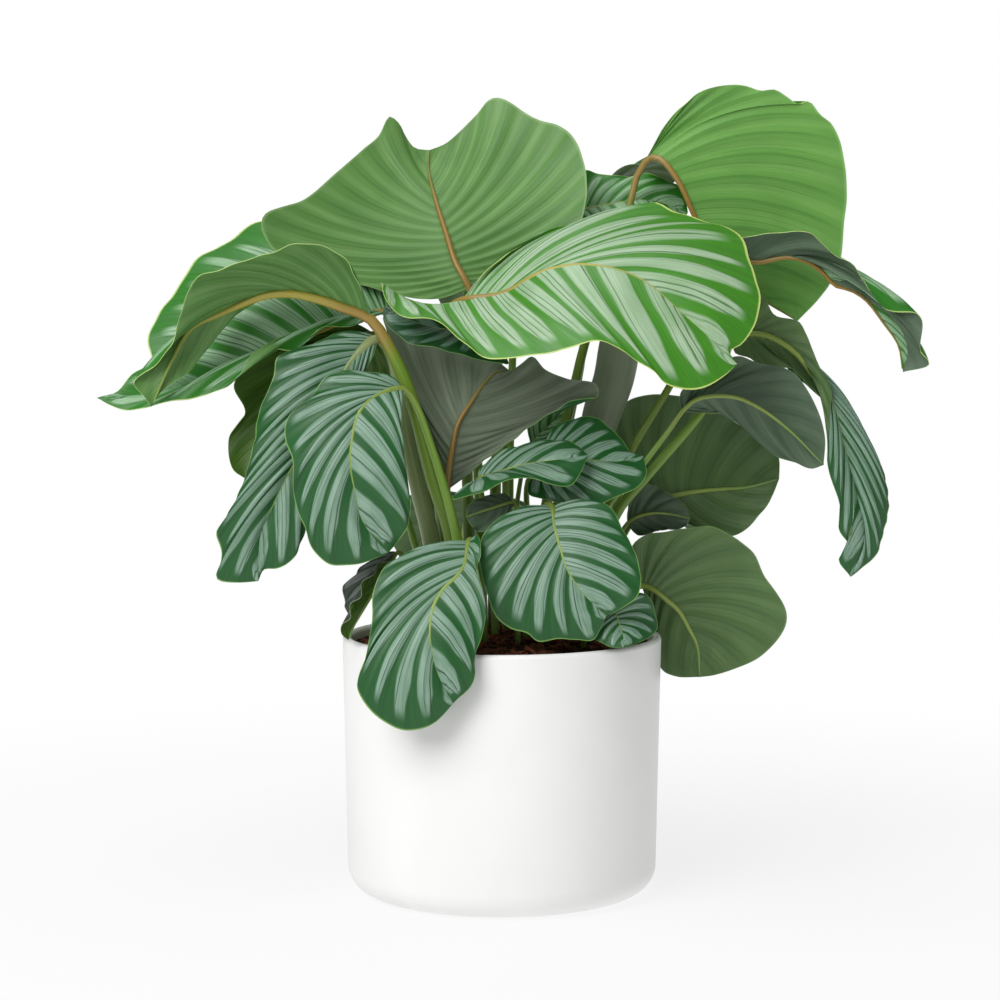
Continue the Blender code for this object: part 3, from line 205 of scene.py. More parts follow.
# ---- Leaf pieces -----------------------------------------------------------------
class Shell:
    """Vertices, faces, their leaf-map coordinates and their finishes, gathered in turn."""

    def __init__(self):
        self.points, self.faces, self.maps, self.finishes = [], [], [], []

    def add_points(self, points):
        """Add points; returns an array of their numbers, in the shape they came in."""
        points = np.asarray(points)
        first = len(self.points)
        self.points.extend(points.reshape(-1, 3))
        return first + np.arange(points[..., 0].size).reshape(points.shape[:-1])

    def add_face(self, corners, places, finish, flip=False):
        """Add a face, dropping corners that repeat; flip turns it over."""
        kept = [k for k, c in enumerate(corners) if c != corners[k - 1]]
        if len(kept) > 2:
            kept = kept[::-1] if flip else kept
            self.faces.append([int(corners[k]) for k in kept])
            self.maps.extend(places[k] for k in kept)
            self.finishes.append(finish)

    def make(self, name, materials, crease=50):
        """The finished object, with smooth shading up to the crease angle in degrees."""
        mesh = bpy.data.meshes.new(name)
        mesh.from_pydata([tuple(p) for p in np.asarray(self.points) * CM], [], self.faces)
        for material in materials:
            mesh.materials.append(material)
        mesh.polygons.foreach_set("material_index", self.finishes)
        mesh.polygons.foreach_set("use_smooth", [True] * len(self.faces))
        layer = mesh.uv_layers.new(name="LeafMap")
        layer.data.foreach_set("uv", np.asarray(self.maps, float).ravel())
        mesh.set_sharp_from_angle(angle=math.radians(crease))
        mesh.update()
        piece = bpy.data.objects.new(name, mesh)
        bpy.context.scene.collection.objects.link(piece)
        return piece


def half_normals(grid, turn):
    """Upward normals of one half's grid; turn is 1 for the left half, -1 for the right."""
    normals = turn * np.cross(np.gradient(grid, axis=0), np.gradient(grid, axis=1))
    normals[0], normals[-1] = normals[1], normals[-2]
    return unit(normals)


def blade_half(shell, grid, turn, bands, shift, finishes):
    """One half of a blade as a closed thin shell, pleated along its veins."""
    rows, columns = grid.shape[0] - 1, grid.shape[1] - 1
    a = np.linspace(0, 1, rows + 1)[:, None]
    t = np.array([0.0, *ACROSS])[None]
    vein = a * bands + shift
    size = np.linalg.norm(grid[rows // 2, -1] - grid[rows // 2, 0])
    swell = np.interp(t, (0, 0.06, 0.3, 0.85, 1), (0, 0.5, 1, 0.8, 0.5))
    ends = np.clip(6 * a, 0, 1) * np.clip(8 * (1 - a), 0, 1)
    normals = half_normals(grid, turn)
    pleat = -PLEAT_HEIGHT * min(1.2, size / 6.5) * np.cos(2 * math.pi * vein) * swell * ends
    grid = grid + pleat[..., None] * normals
    grid[0], grid[-1] = grid[0, 0], grid[-1, 0]
    normals[0], normals[-1] = normals[0, 0], normals[-1, 0]
    top = shell.add_points(grid + BLADE_HALF_THICKNESS * normals)
    low = shell.add_points(grid - BLADE_HALF_THICKNESS * normals)
    for ends_row in (0, -1):
        top[ends_row], low[ends_row] = top[ends_row, 0], low[ends_row, 0]
    over = turn < 0
    upper, under = finishes
    for i in range(rows):
        u0, u1 = vein[i, 0], vein[i + 1, 0]
        for j in range(columns):
            t0, t1 = t[0, j], t[0, j + 1]
            places = ((u0, t0), (u1, t0), (u1, t1), (u0, t1))
            for skin, finish, flip in ((top, upper, over), (low, under, not over)):
                corners = (skin[i, j], skin[i + 1, j], skin[i + 1, j + 1], skin[i, j + 1])
                shell.add_face(corners, places, finish, flip)
        for j, flip in ((columns, over), (0, not over)):
            corners = (top[i, j], top[i + 1, j], low[i + 1, j], low[i, j])
            edge = t[0, j]
            shell.add_face(corners, ((u0, edge), (u1, edge), (u1, edge), (u0, edge)), upper, flip)


def stalk_radius(girth, down):
    """Stalk radius: slim under the blade, full girth from the middle down."""
    return girth * (0.62 + 0.38 * np.clip(down * 1.8, 0, 1))


def stalk(shell, leaf, up, finish):
    """Round stalk that runs on under the blade as its midrib and thins toward the tip."""
    stem, rib = axis_curve(leaf)
    girth = leaf.get("girth", 0.4)
    down = np.linspace(1, 0, STALK_RINGS + 1)
    out = np.linspace(0, 1, RIB_RINGS + 1)[1:]
    low_part = resample(stem, 1 - down)
    rib_part = resample(rib, 0.985 * out)
    places = np.vstack([low_part, rib_part])
    neck = stalk_radius(girth, 0.0)
    radii = np.concatenate([stalk_radius(girth, down), 0.045 + (neck - 0.045) * (1 - out) ** 0.75])
    sink = np.concatenate([np.zeros(len(down)), np.clip(out / 0.12, 0, 1) * 0.72]) * radii
    height = np.concatenate([1 - down, 1 + out])
    along = tangents(places)
    rows = len(up) - 1
    side = np.cross(along[-1], up[-1])
    frames = [None] * len(places)
    for k in range(len(places) - 1, -1, -1):
        if height[k] > 1:
            side = np.cross(along[k], up[min(rows, int((height[k] - 1) ** 0.74 * rows))])
        side = unit(side - np.dot(side, along[k]) * along[k])
        frames[k] = (side, np.cross(side, along[k]))
    turns = np.linspace(0, 2 * math.pi, STALK_SIDES, endpoint=False)
    rings = []
    for place, radius, drop, (side, top) in zip(places, radii, sink, frames):
        circle = np.cos(turns)[:, None] * side + np.sin(turns)[:, None] * top
        rings.append(place - drop * top + radius * circle)
    numbers = shell.add_points(rings)
    root, tip = shell.add_points([places[0], places[-1] - sink[-1] * frames[-1][1] + 0.03 * along[-1]])
    for i in range(len(places) - 1):
        for n in range(STALK_SIDES):
            m = (n + 1) % STALK_SIDES
            corners = (numbers[i, n], numbers[i, m], numbers[i + 1, m], numbers[i + 1, n])
            x0, x1 = n / STALK_SIDES, (n + 1) / STALK_SIDES
            marks = ((x0, height[i]), (x1, height[i]), (x1, height[i + 1]), (x0, height[i + 1]))
            shell.add_face(corners, marks, finish, True)
    for n in range(STALK_SIDES):
        m = (n + 1) % STALK_SIDES
        shell.add_face((numbers[0, n], numbers[0, m], root), ((0, 0),) * 3, finish)
        shell.add_face((numbers[-1, m], numbers[-1, n], tip), ((0, 2),) * 3, finish)


def band_count(leaf, edge, k):
    """Number of bands in half k of a leaf: given, or by the length of its margin."""
    length = np.linalg.norm(np.diff(edge, axis=0), axis=1).sum()
    given = leaf.get("bands")
    return given[k] if given else round(5 + length / 4)


def leaf_piece(name, leaf, materials):
    """One leaf: two pleated halves, and a stalk that becomes the midrib."""
    shell = Shell()
    grids, edges, up = blade_sheet(leaf, BLADE_ROWS, ACROSS)
    for k, turn in ((0, 1), (1, -1)):
        blade_half(shell, grids[k], turn, band_count(leaf, edges[k], k), 0.5 * k, (0, 1))
    stalk(shell, leaf, up, 2)
    return shell.make(name, materials)


# ---- Finishes --------------------------------------------------------------------
def colour(red, green, blue):
    """Linear colour with alpha, from screen values 0 to 255."""
    parts = [v / 255 for v in (red, green, blue)]
    return (*(p / 12.92 if p <= 0.04045 else ((p + 0.055) / 1.055) ** 2.4 for p in parts), 1.0)


def node(tree, kind, inputs, **settings):
    """A node with its settings made and its inputs linked or set."""
    made = tree.nodes.new(kind)
    for key, value in settings.items():
        setattr(made, key, value)
    for key, value in inputs.items():
        if isinstance(value, bpy.types.NodeSocket):
            tree.links.new(value, made.inputs[key])
        else:
            made.inputs[key].default_value = value
    return made


def calc(tree, operation, *terms):
    return node(tree, "ShaderNodeMath", dict(enumerate(terms)), operation=operation).outputs[0]


def ease(tree, value, start, stop, first=0.0, last=1.0):
    """Smooth step from first to last as value goes from start to stop."""
    inputs = {0: value, 1: start, 2: stop, 3: first, 4: last}
    return node(tree, "ShaderNodeMapRange", inputs, interpolation_type="SMOOTHSTEP").outputs[0]


def mix(tree, factor, first, second, mode="MIX"):
    inputs = {0: factor, 6: first, 7: second}
    return node(tree, "ShaderNodeMix", inputs, data_type="RGBA", blend_type=mode).outputs[2]


def spot(tree, x, y, z):
    return node(tree, "ShaderNodeCombineXYZ", {0: x, 1: y, 2: z}).outputs[0]


def noise(tree, place, scale, detail=2.0, rough=0.5):
    inputs = {"Vector": place, "Scale": scale, "Detail": detail, "Roughness": rough}
    return node(tree, "ShaderNodeTexNoise", inputs).outputs[0]


def chance(tree, x, y):
    """A number from 0 to 1 that is the same all along one band."""
    return node(tree, "ShaderNodeTexWhiteNoise", {"Vector": spot(tree, x, y, 0.0)}).outputs["Value"]


def group(name, inputs, outputs):
    """An empty node group with its sockets; returns the tree and its two end nodes."""
    tree = bpy.data.node_groups.new(name, "ShaderNodeTree")
    kinds = {"c": "NodeSocketColor", "f": "NodeSocketFloat", "v": "NodeSocketVector"}
    for way, sockets in (("INPUT", inputs), ("OUTPUT", outputs)):
        for label, kind in sockets.items():
            tree.interface.new_socket(label, in_out=way, socket_type=kinds[kind])
    return tree, tree.nodes.new("NodeGroupInput").outputs, tree.nodes.new("NodeGroupOutput").inputs


def vein_bands(tree, vein, across, seed):
    """Place within a band: (which band, 0 to 1 across it, 0 at its middle to 1 at its side)."""
    drift = noise(tree, spot(tree, calc(tree, "MULTIPLY", vein, 0.8), across, seed), 1.4)
    moved = calc(tree, "ADD", vein, calc(tree, "MULTIPLY_ADD", drift, 0.3, -0.15))
    inside = calc(tree, "FRACT", moved)
    off = calc(tree, "ABSOLUTE", calc(tree, "MULTIPLY_ADD", inside, 2.0, -1.0))
    return calc(tree, "FLOOR", moved), inside, off


def streaks(tree, vein, across, seed, fine):
    """Fine streaks that run along the veins."""
    place = spot(tree, calc(tree, "MULTIPLY", vein, fine), calc(tree, "MULTIPLY", across, 1.6), seed)
    return noise(tree, place, 1.0, 4.0, 0.6)


def crease_lines(tree, band, inside, across, seed):
    """Thin folds inside each band, some faint and some strong: a mask that sinks the bump and darkens the colour as
    painted shade.
    """
    lines = 0.0
    for k, at in enumerate((0.3, 0.5, 0.7)):
        draw = chance(tree, calc(tree, "ADD", band, 17.0 * k), seed)
        place = calc(tree, "MULTIPLY_ADD", draw, 0.1, at - 0.05)
        near = calc(tree, "ABSOLUTE", calc(tree, "SUBTRACT", inside, place))
        strength = ease(tree, draw, 0.15, 0.75, 0.1, 1.0)
        line = calc(tree, "MULTIPLY", ease(tree, near, 0.008, 0.034, 1.0, 0.0), strength)
        lines = calc(tree, "MAXIMUM", lines, line)
    return calc(tree, "MULTIPLY", lines, ease(tree, across, 0.7, 0.93, 1.0, 0.0))


def make_upper_group():
    """Markings of the upper face: silver bands between green ones, dark streaks, folds darkened as painted shade, rim
    and midrib.
    """
    tree, given, out = group(
        "leaf_upper_markings",
        {"Vein": "f", "Across": "f", "Seed": "f", "Silver Width": "f", "Green": "c",
         "Silver": "c", "Fold": "c", "Rim": "c", "Midrib": "c"},
        {"Color": "c", "Roughness": "f", "Height": "f"})
    vein, across, seed = given["Vein"], given["Across"], given["Seed"]
    band, inside, off = vein_bands(tree, vein, across, seed)
    width = calc(tree, "ADD", given["Silver Width"], calc(tree, "MULTIPLY_ADD", chance(tree, band, seed), 0.2, -0.1))
    pinch = ease(tree, across, 0.5, 1.0, 0.0, 0.42)
    side = calc(tree, "SUBTRACT", width, pinch)
    silver = ease(tree, calc(tree, "SUBTRACT", off, side), -0.1, 0.12, 1.0, 0.0)
    stop = calc(tree, "MULTIPLY_ADD", chance(tree, band, calc(tree, "ADD", seed, 5.0)), 0.08, 0.86)
    past = calc(tree, "SUBTRACT", across, stop)
    silver = calc(tree, "MULTIPLY", silver, ease(tree, past, -0.08, 0.05, 1.0, 0.0))
    grain = streaks(tree, vein, across, seed, 9.0)
    silver = calc(tree, "MULTIPLY", silver, ease(tree, grain, 0.25, 0.62, 0.55, 1.0))
    patch = noise(tree, spot(tree, calc(tree, "MULTIPLY", vein, 0.35), across, seed), 2.2)
    silver = calc(tree, "MULTIPLY", silver, ease(tree, patch, 0.3, 0.6, 0.75, 1.0))
    fold = crease_lines(tree, band, inside, across, seed)
    shade = mix(tree, ease(tree, grain, 0.3, 0.7, 0.0, 0.35), given["Green"], given["Fold"])
    shade = mix(tree, silver, shade, given["Silver"])
    # Painted shade: darken the colour toward the fold colour along the thin folds.
    shade = mix(tree, calc(tree, "MULTIPLY", fold, 0.8), shade, given["Fold"])
    shade = mix(tree, ease(tree, across, 0.008, 0.022, 0.85, 0.0), shade, given["Midrib"])
    shade = mix(tree, ease(tree, across, 0.982, 0.994, 0.0, 0.9), shade, given["Rim"])
    tree.links.new(shade, out["Color"])
    rough = calc(tree, "MULTIPLY_ADD", grain, 0.12, 0.33)
    tree.links.new(rough, out["Roughness"])
    hair = calc(tree, "SINE", calc(tree, "MULTIPLY", vein, 2 * math.pi * 12))
    relief = calc(tree, "MULTIPLY_ADD", hair, 0.06, calc(tree, "MULTIPLY", grain, 0.35))
    relief = calc(tree, "SUBTRACT", relief, fold)
    tree.links.new(relief, out["Height"])
    return tree


def make_under_group():
    """Markings of the underside: broad soft pleats with painted shade in their narrow grooves and a painted highlight
    along their ridges, painted shade along thin folds, hair-fine veins, mottling and a lighter rim.
    """
    tree, given, out = group(
        "leaf_under_markings",
        {"Vein": "f", "Across": "f", "Seed": "f", "Base": "c", "Light": "c", "Dark": "c"},
        {"Color": "c", "Roughness": "f", "Height": "f"})
    vein, across, seed = given["Vein"], given["Across"], given["Seed"]
    band, inside, off = vein_bands(tree, vein, across, seed)
    grain = streaks(tree, vein, across, seed, 8.0)
    hair = calc(tree, "SINE", calc(tree, "MULTIPLY", vein, 2 * math.pi * 9))
    groove_shade = ease(tree, off, 0.72, 1.0)
    crest_highlight = ease(tree, off, 0.55, 0.15)
    fold = crease_lines(tree, band, inside, across, seed)
    fade = ease(tree, across, 0.75, 1.0, 1.0, 0.35)
    # Painted shade in the narrow grooves at the sides of the bands, fading toward the margin.
    shade = mix(tree, calc(tree, "MULTIPLY", calc(tree, "MULTIPLY", groove_shade, 0.55), fade), given["Base"], given["Dark"])
    # Painted highlight along the middle ridge of each band, broken up by the streaks.
    shade = mix(tree, calc(tree, "MULTIPLY", calc(tree, "MULTIPLY", crest_highlight, grain), 0.7), shade, given["Light"])
    # Painted shade along the thin folds.
    shade = mix(tree, calc(tree, "MULTIPLY", fold, 0.22), shade, given["Dark"])
    shade = mix(tree, ease(tree, hair, 0.2, 1.0, 0.0, 0.14), shade, given["Light"])
    patch = noise(tree, spot(tree, calc(tree, "MULTIPLY", vein, 0.3), across, seed), 2.0)
    shade = mix(tree, ease(tree, patch, 0.35, 0.7, 0.0, 0.3), shade, given["Dark"])
    shade = mix(tree, ease(tree, across, 0.98, 0.994, 0.0, 0.8), shade, given["Light"])
    tree.links.new(shade, out["Color"])
    tree.links.new(calc(tree, "MULTIPLY_ADD", grain, 0.1, 0.42), out["Roughness"])
    relief = calc(tree, "MULTIPLY_ADD", hair, 0.07, calc(tree, "MULTIPLY", grain, 0.35))
    relief = calc(tree, "SUBTRACT", relief, calc(tree, "MULTIPLY", fold, 0.6))
    tree.links.new(relief, out["Height"])
    return tree


def make_stalk_group():
    """Stalk colours from root to tip, with long streaks."""
    tree, given, out = group(
        "stalk_markings",
        {"Height": "f", "Round": "f", "Seed": "f", "Foot": "c", "Stalk": "c", "Neck": "c", "Rib": "c", "Tip": "c"},
        {"Color": "c", "Relief": "f"})
    height = given["Height"]
    shade = mix(tree, ease(tree, height, 0.0, 0.5), given["Foot"], given["Stalk"])
    shade = mix(tree, ease(tree, height, 0.86, 0.97), shade, given["Neck"])
    shade = mix(tree, ease(tree, height, 1.05, 1.3), shade, given["Rib"])
    shade = mix(tree, ease(tree, height, 1.45, 1.95), shade, given["Tip"])
    place = spot(tree, calc(tree, "MULTIPLY", given["Round"], 14.0), calc(tree, "MULTIPLY", height, 3.0), given["Seed"])
    grain = noise(tree, place, 1.0, 4.0, 0.6)
    shade = mix(tree, ease(tree, grain, 0.35, 0.75, 0.0, 0.35), shade, given["Foot"])
    tree.links.new(shade, out["Color"])
    tree.links.new(grain, out["Relief"])
    return tree


def new_material(name):
    """A material with its Principled shader and the leaf-map coordinates."""
    material = bpy.data.materials.new(name)
    material.use_nodes = True
    tree = material.node_tree
    uv = node(tree, "ShaderNodeUVMap", {}, uv_map="LeafMap").outputs[0]
    parts = node(tree, "ShaderNodeSeparateXYZ", {0: uv}).outputs
    return material, tree, tree.nodes["Principled BSDF"], parts[0], parts[1]


def fill_group(tree, made, inputs):
    """Place a node group and set its inputs; returns its outputs."""
    placed = tree.nodes.new("ShaderNodeGroup")
    placed.node_tree = made
    for label, value in inputs.items():
        if isinstance(value, bpy.types.NodeSocket):
            tree.links.new(value, placed.inputs[label])
        else:
            placed.inputs[label].default_value = value
    return placed.outputs


def relief(tree, shader, height, strength, distance):
    bump = node(tree, "ShaderNodeBump", {"Height": height, "Strength": strength, "Distance": distance})
    tree.links.new(bump.outputs[0], shader.inputs["Normal"])


# Upper face: green, silver, fold, rim, midrib colours and the silver bands' share. The fold colour tints the dark
# streaks and paints the shade along the folds.
UPPER_TONES = {
    "bright": ((62, 132, 22), (158, 184, 152), (34, 84, 26), (196, 214, 120), (130, 160, 96), 0.66),
    "fresh": ((44, 118, 26), (140, 176, 138), (26, 72, 30), (180, 205, 120), (110, 140, 90), 0.62),
    "deep": ((26, 88, 34), (132, 162, 142), (16, 50, 28), (120, 160, 80), (112, 152, 50), 0.66),
    # The dark tone is an upper face painted as lying in shade: darker green, silver and fold colours.
    "dark": ((18, 70, 26), (96, 128, 108), (10, 36, 20), (110, 150, 80), (60, 100, 40), 0.6),
    "grey": ((52, 66, 54), (110, 118, 112), (30, 36, 32), (140, 150, 120), (90, 100, 80), 0.6),
}
# Underside: base, light and dark colours. The light colour also paints the highlight on the pleat ridges, the dark one
# the shade in the grooves and folds.
UNDER_TONES = {
    # The bright underside is painted lighter, as if lit through from behind.
    "bright": ((96, 150, 66), (124, 172, 92), (64, 116, 44)),
    "green": ((86, 130, 62), (122, 158, 98), (56, 98, 44)),
    "moss": ((82, 112, 62), (104, 132, 82), (58, 84, 46)),
    "grey": ((98, 112, 90), (124, 134, 114), (66, 78, 60)),
    "olive": ((66, 100, 28), (92, 124, 48), (44, 76, 20)),
    "slate": ((76, 98, 74), (98, 118, 94), (54, 74, 54)),
}
# Stalk: foot, stalk, neck, midrib and tip colours.
STALK_TONES = {
    "olive": ((64, 92, 18), (104, 136, 34), (150, 122, 58), (168, 156, 62), (128, 152, 70)),
    "green": ((66, 96, 24), (106, 140, 44), (120, 140, 56), (140, 160, 76), (118, 150, 78)),
    "tan": ((70, 96, 22), (104, 132, 36), (146, 118, 58), (140, 106, 40), (120, 120, 50)),
    "pale": ((96, 116, 50), (132, 150, 96), (140, 150, 100), (120, 150, 70), (110, 150, 70)),
}

# Tones of each leaf: upper face, underside, stalk.
LEAF_TONES = {
    "leaf_crown_front": ("bright", "green", "olive"),
    "leaf_tall_back": ("fresh", "green", "tan"),
    "leaf_left_striped": ("fresh", "green", "olive"),
    "leaf_left_folded": ("fresh", "green", "olive"),
    "leaf_left_hanging": ("deep", "green", "pale"),
    "leaf_left_rear": ("fresh", "olive", "green"),
    "leaf_centre_upright": ("deep", "grey", "tan"),
    # This leaf's upper face is painted in shade with the dark tone.
    "leaf_centre_dark": ("dark", "green", "green"),
    "leaf_rim_folded": ("grey", "olive", "green"),
    "leaf_right_middle": ("deep", "slate", "green"),
    "leaf_right_drooping": ("deep", "moss", "green"),
    "leaf_right_folded": ("fresh", "slate", "tan"),
    # This leaf's underside is painted lighter with the bright tone, as if lit through from behind.
    "leaf_right_tall": ("fresh", "bright", "tan"),
    "leaf_right_rear": ("deep", "moss", "green"),
    "leaf_right_small": ("deep", "slate", "green"),
    "leaf_right_low": ("deep", "moss", "green"),
    "leaf_rear_striped": ("fresh", "green", "green"),
    "leaf_rear_small": ("fresh", "olive", "green"),
    "leaf_low_sprout": ("deep", "slate", "green"),
}
DEFAULT_TONES = ("deep", "moss", "green")

made_materials = {}


def upper_material(tone, seed):
    """Satin upper face."""
    green, silver, fold, rim, midrib, share = UPPER_TONES[tone]
    material, tree, shader, vein, across = new_material(f"leaf_upper_{tone}_{seed}")
    marks = fill_group(tree, upper_group, {
        "Vein": vein, "Across": across, "Seed": float(seed), "Silver Width": share,
        "Green": colour(*green), "Silver": colour(*silver), "Fold": colour(*fold),
        "Rim": colour(*rim), "Midrib": colour(*midrib)})
    tree.links.new(marks["Color"], shader.inputs["Base Color"])
    tree.links.new(marks["Roughness"], shader.inputs["Roughness"])
    relief(tree, shader, marks["Height"], 0.35, 0.0012)
    shader.inputs["IOR"].default_value = 1.45
    return material


def under_material(tone, seed):
    """Softer underside."""
    base, light, dark = UNDER_TONES[tone]
    material, tree, shader, vein, across = new_material(f"leaf_under_{tone}_{seed}")
    marks = fill_group(tree, under_group, {
        "Vein": vein, "Across": across, "Seed": float(seed),
        "Base": colour(*base), "Light": colour(*light), "Dark": colour(*dark)})
    tree.links.new(marks["Color"], shader.inputs["Base Color"])
    tree.links.new(marks["Roughness"], shader.inputs["Roughness"])
    relief(tree, shader, marks["Height"], 0.35, 0.0012)
    shader.inputs["Specular IOR Level"].default_value = 0.35
    return material


def stalk_material(tone):
    """Smooth, faintly streaked stalk."""
    foot, body, neck, rib, tip = STALK_TONES[tone]
    material, tree, shader, turn, height = new_material(f"stalk_{tone}")
    marks = fill_group(tree, stalk_group, {
        "Height": height, "Round": turn, "Seed": 1.0, "Foot": colour(*foot), "Stalk": colour(*body),
        "Neck": colour(*neck), "Rib": colour(*rib), "Tip": colour(*tip)})
    tree.links.new(marks["Color"], shader.inputs["Base Color"])
    shader.inputs["Roughness"].default_value = 0.38
    relief(tree, shader, marks["Relief"], 0.2, 0.001)
    return material


def shared(make, *key):
    """A material made once for each set of values."""
    found = made_materials.get((make, key))
    if found is None:
        found = made_materials[make, key] = make(*key)
    return found



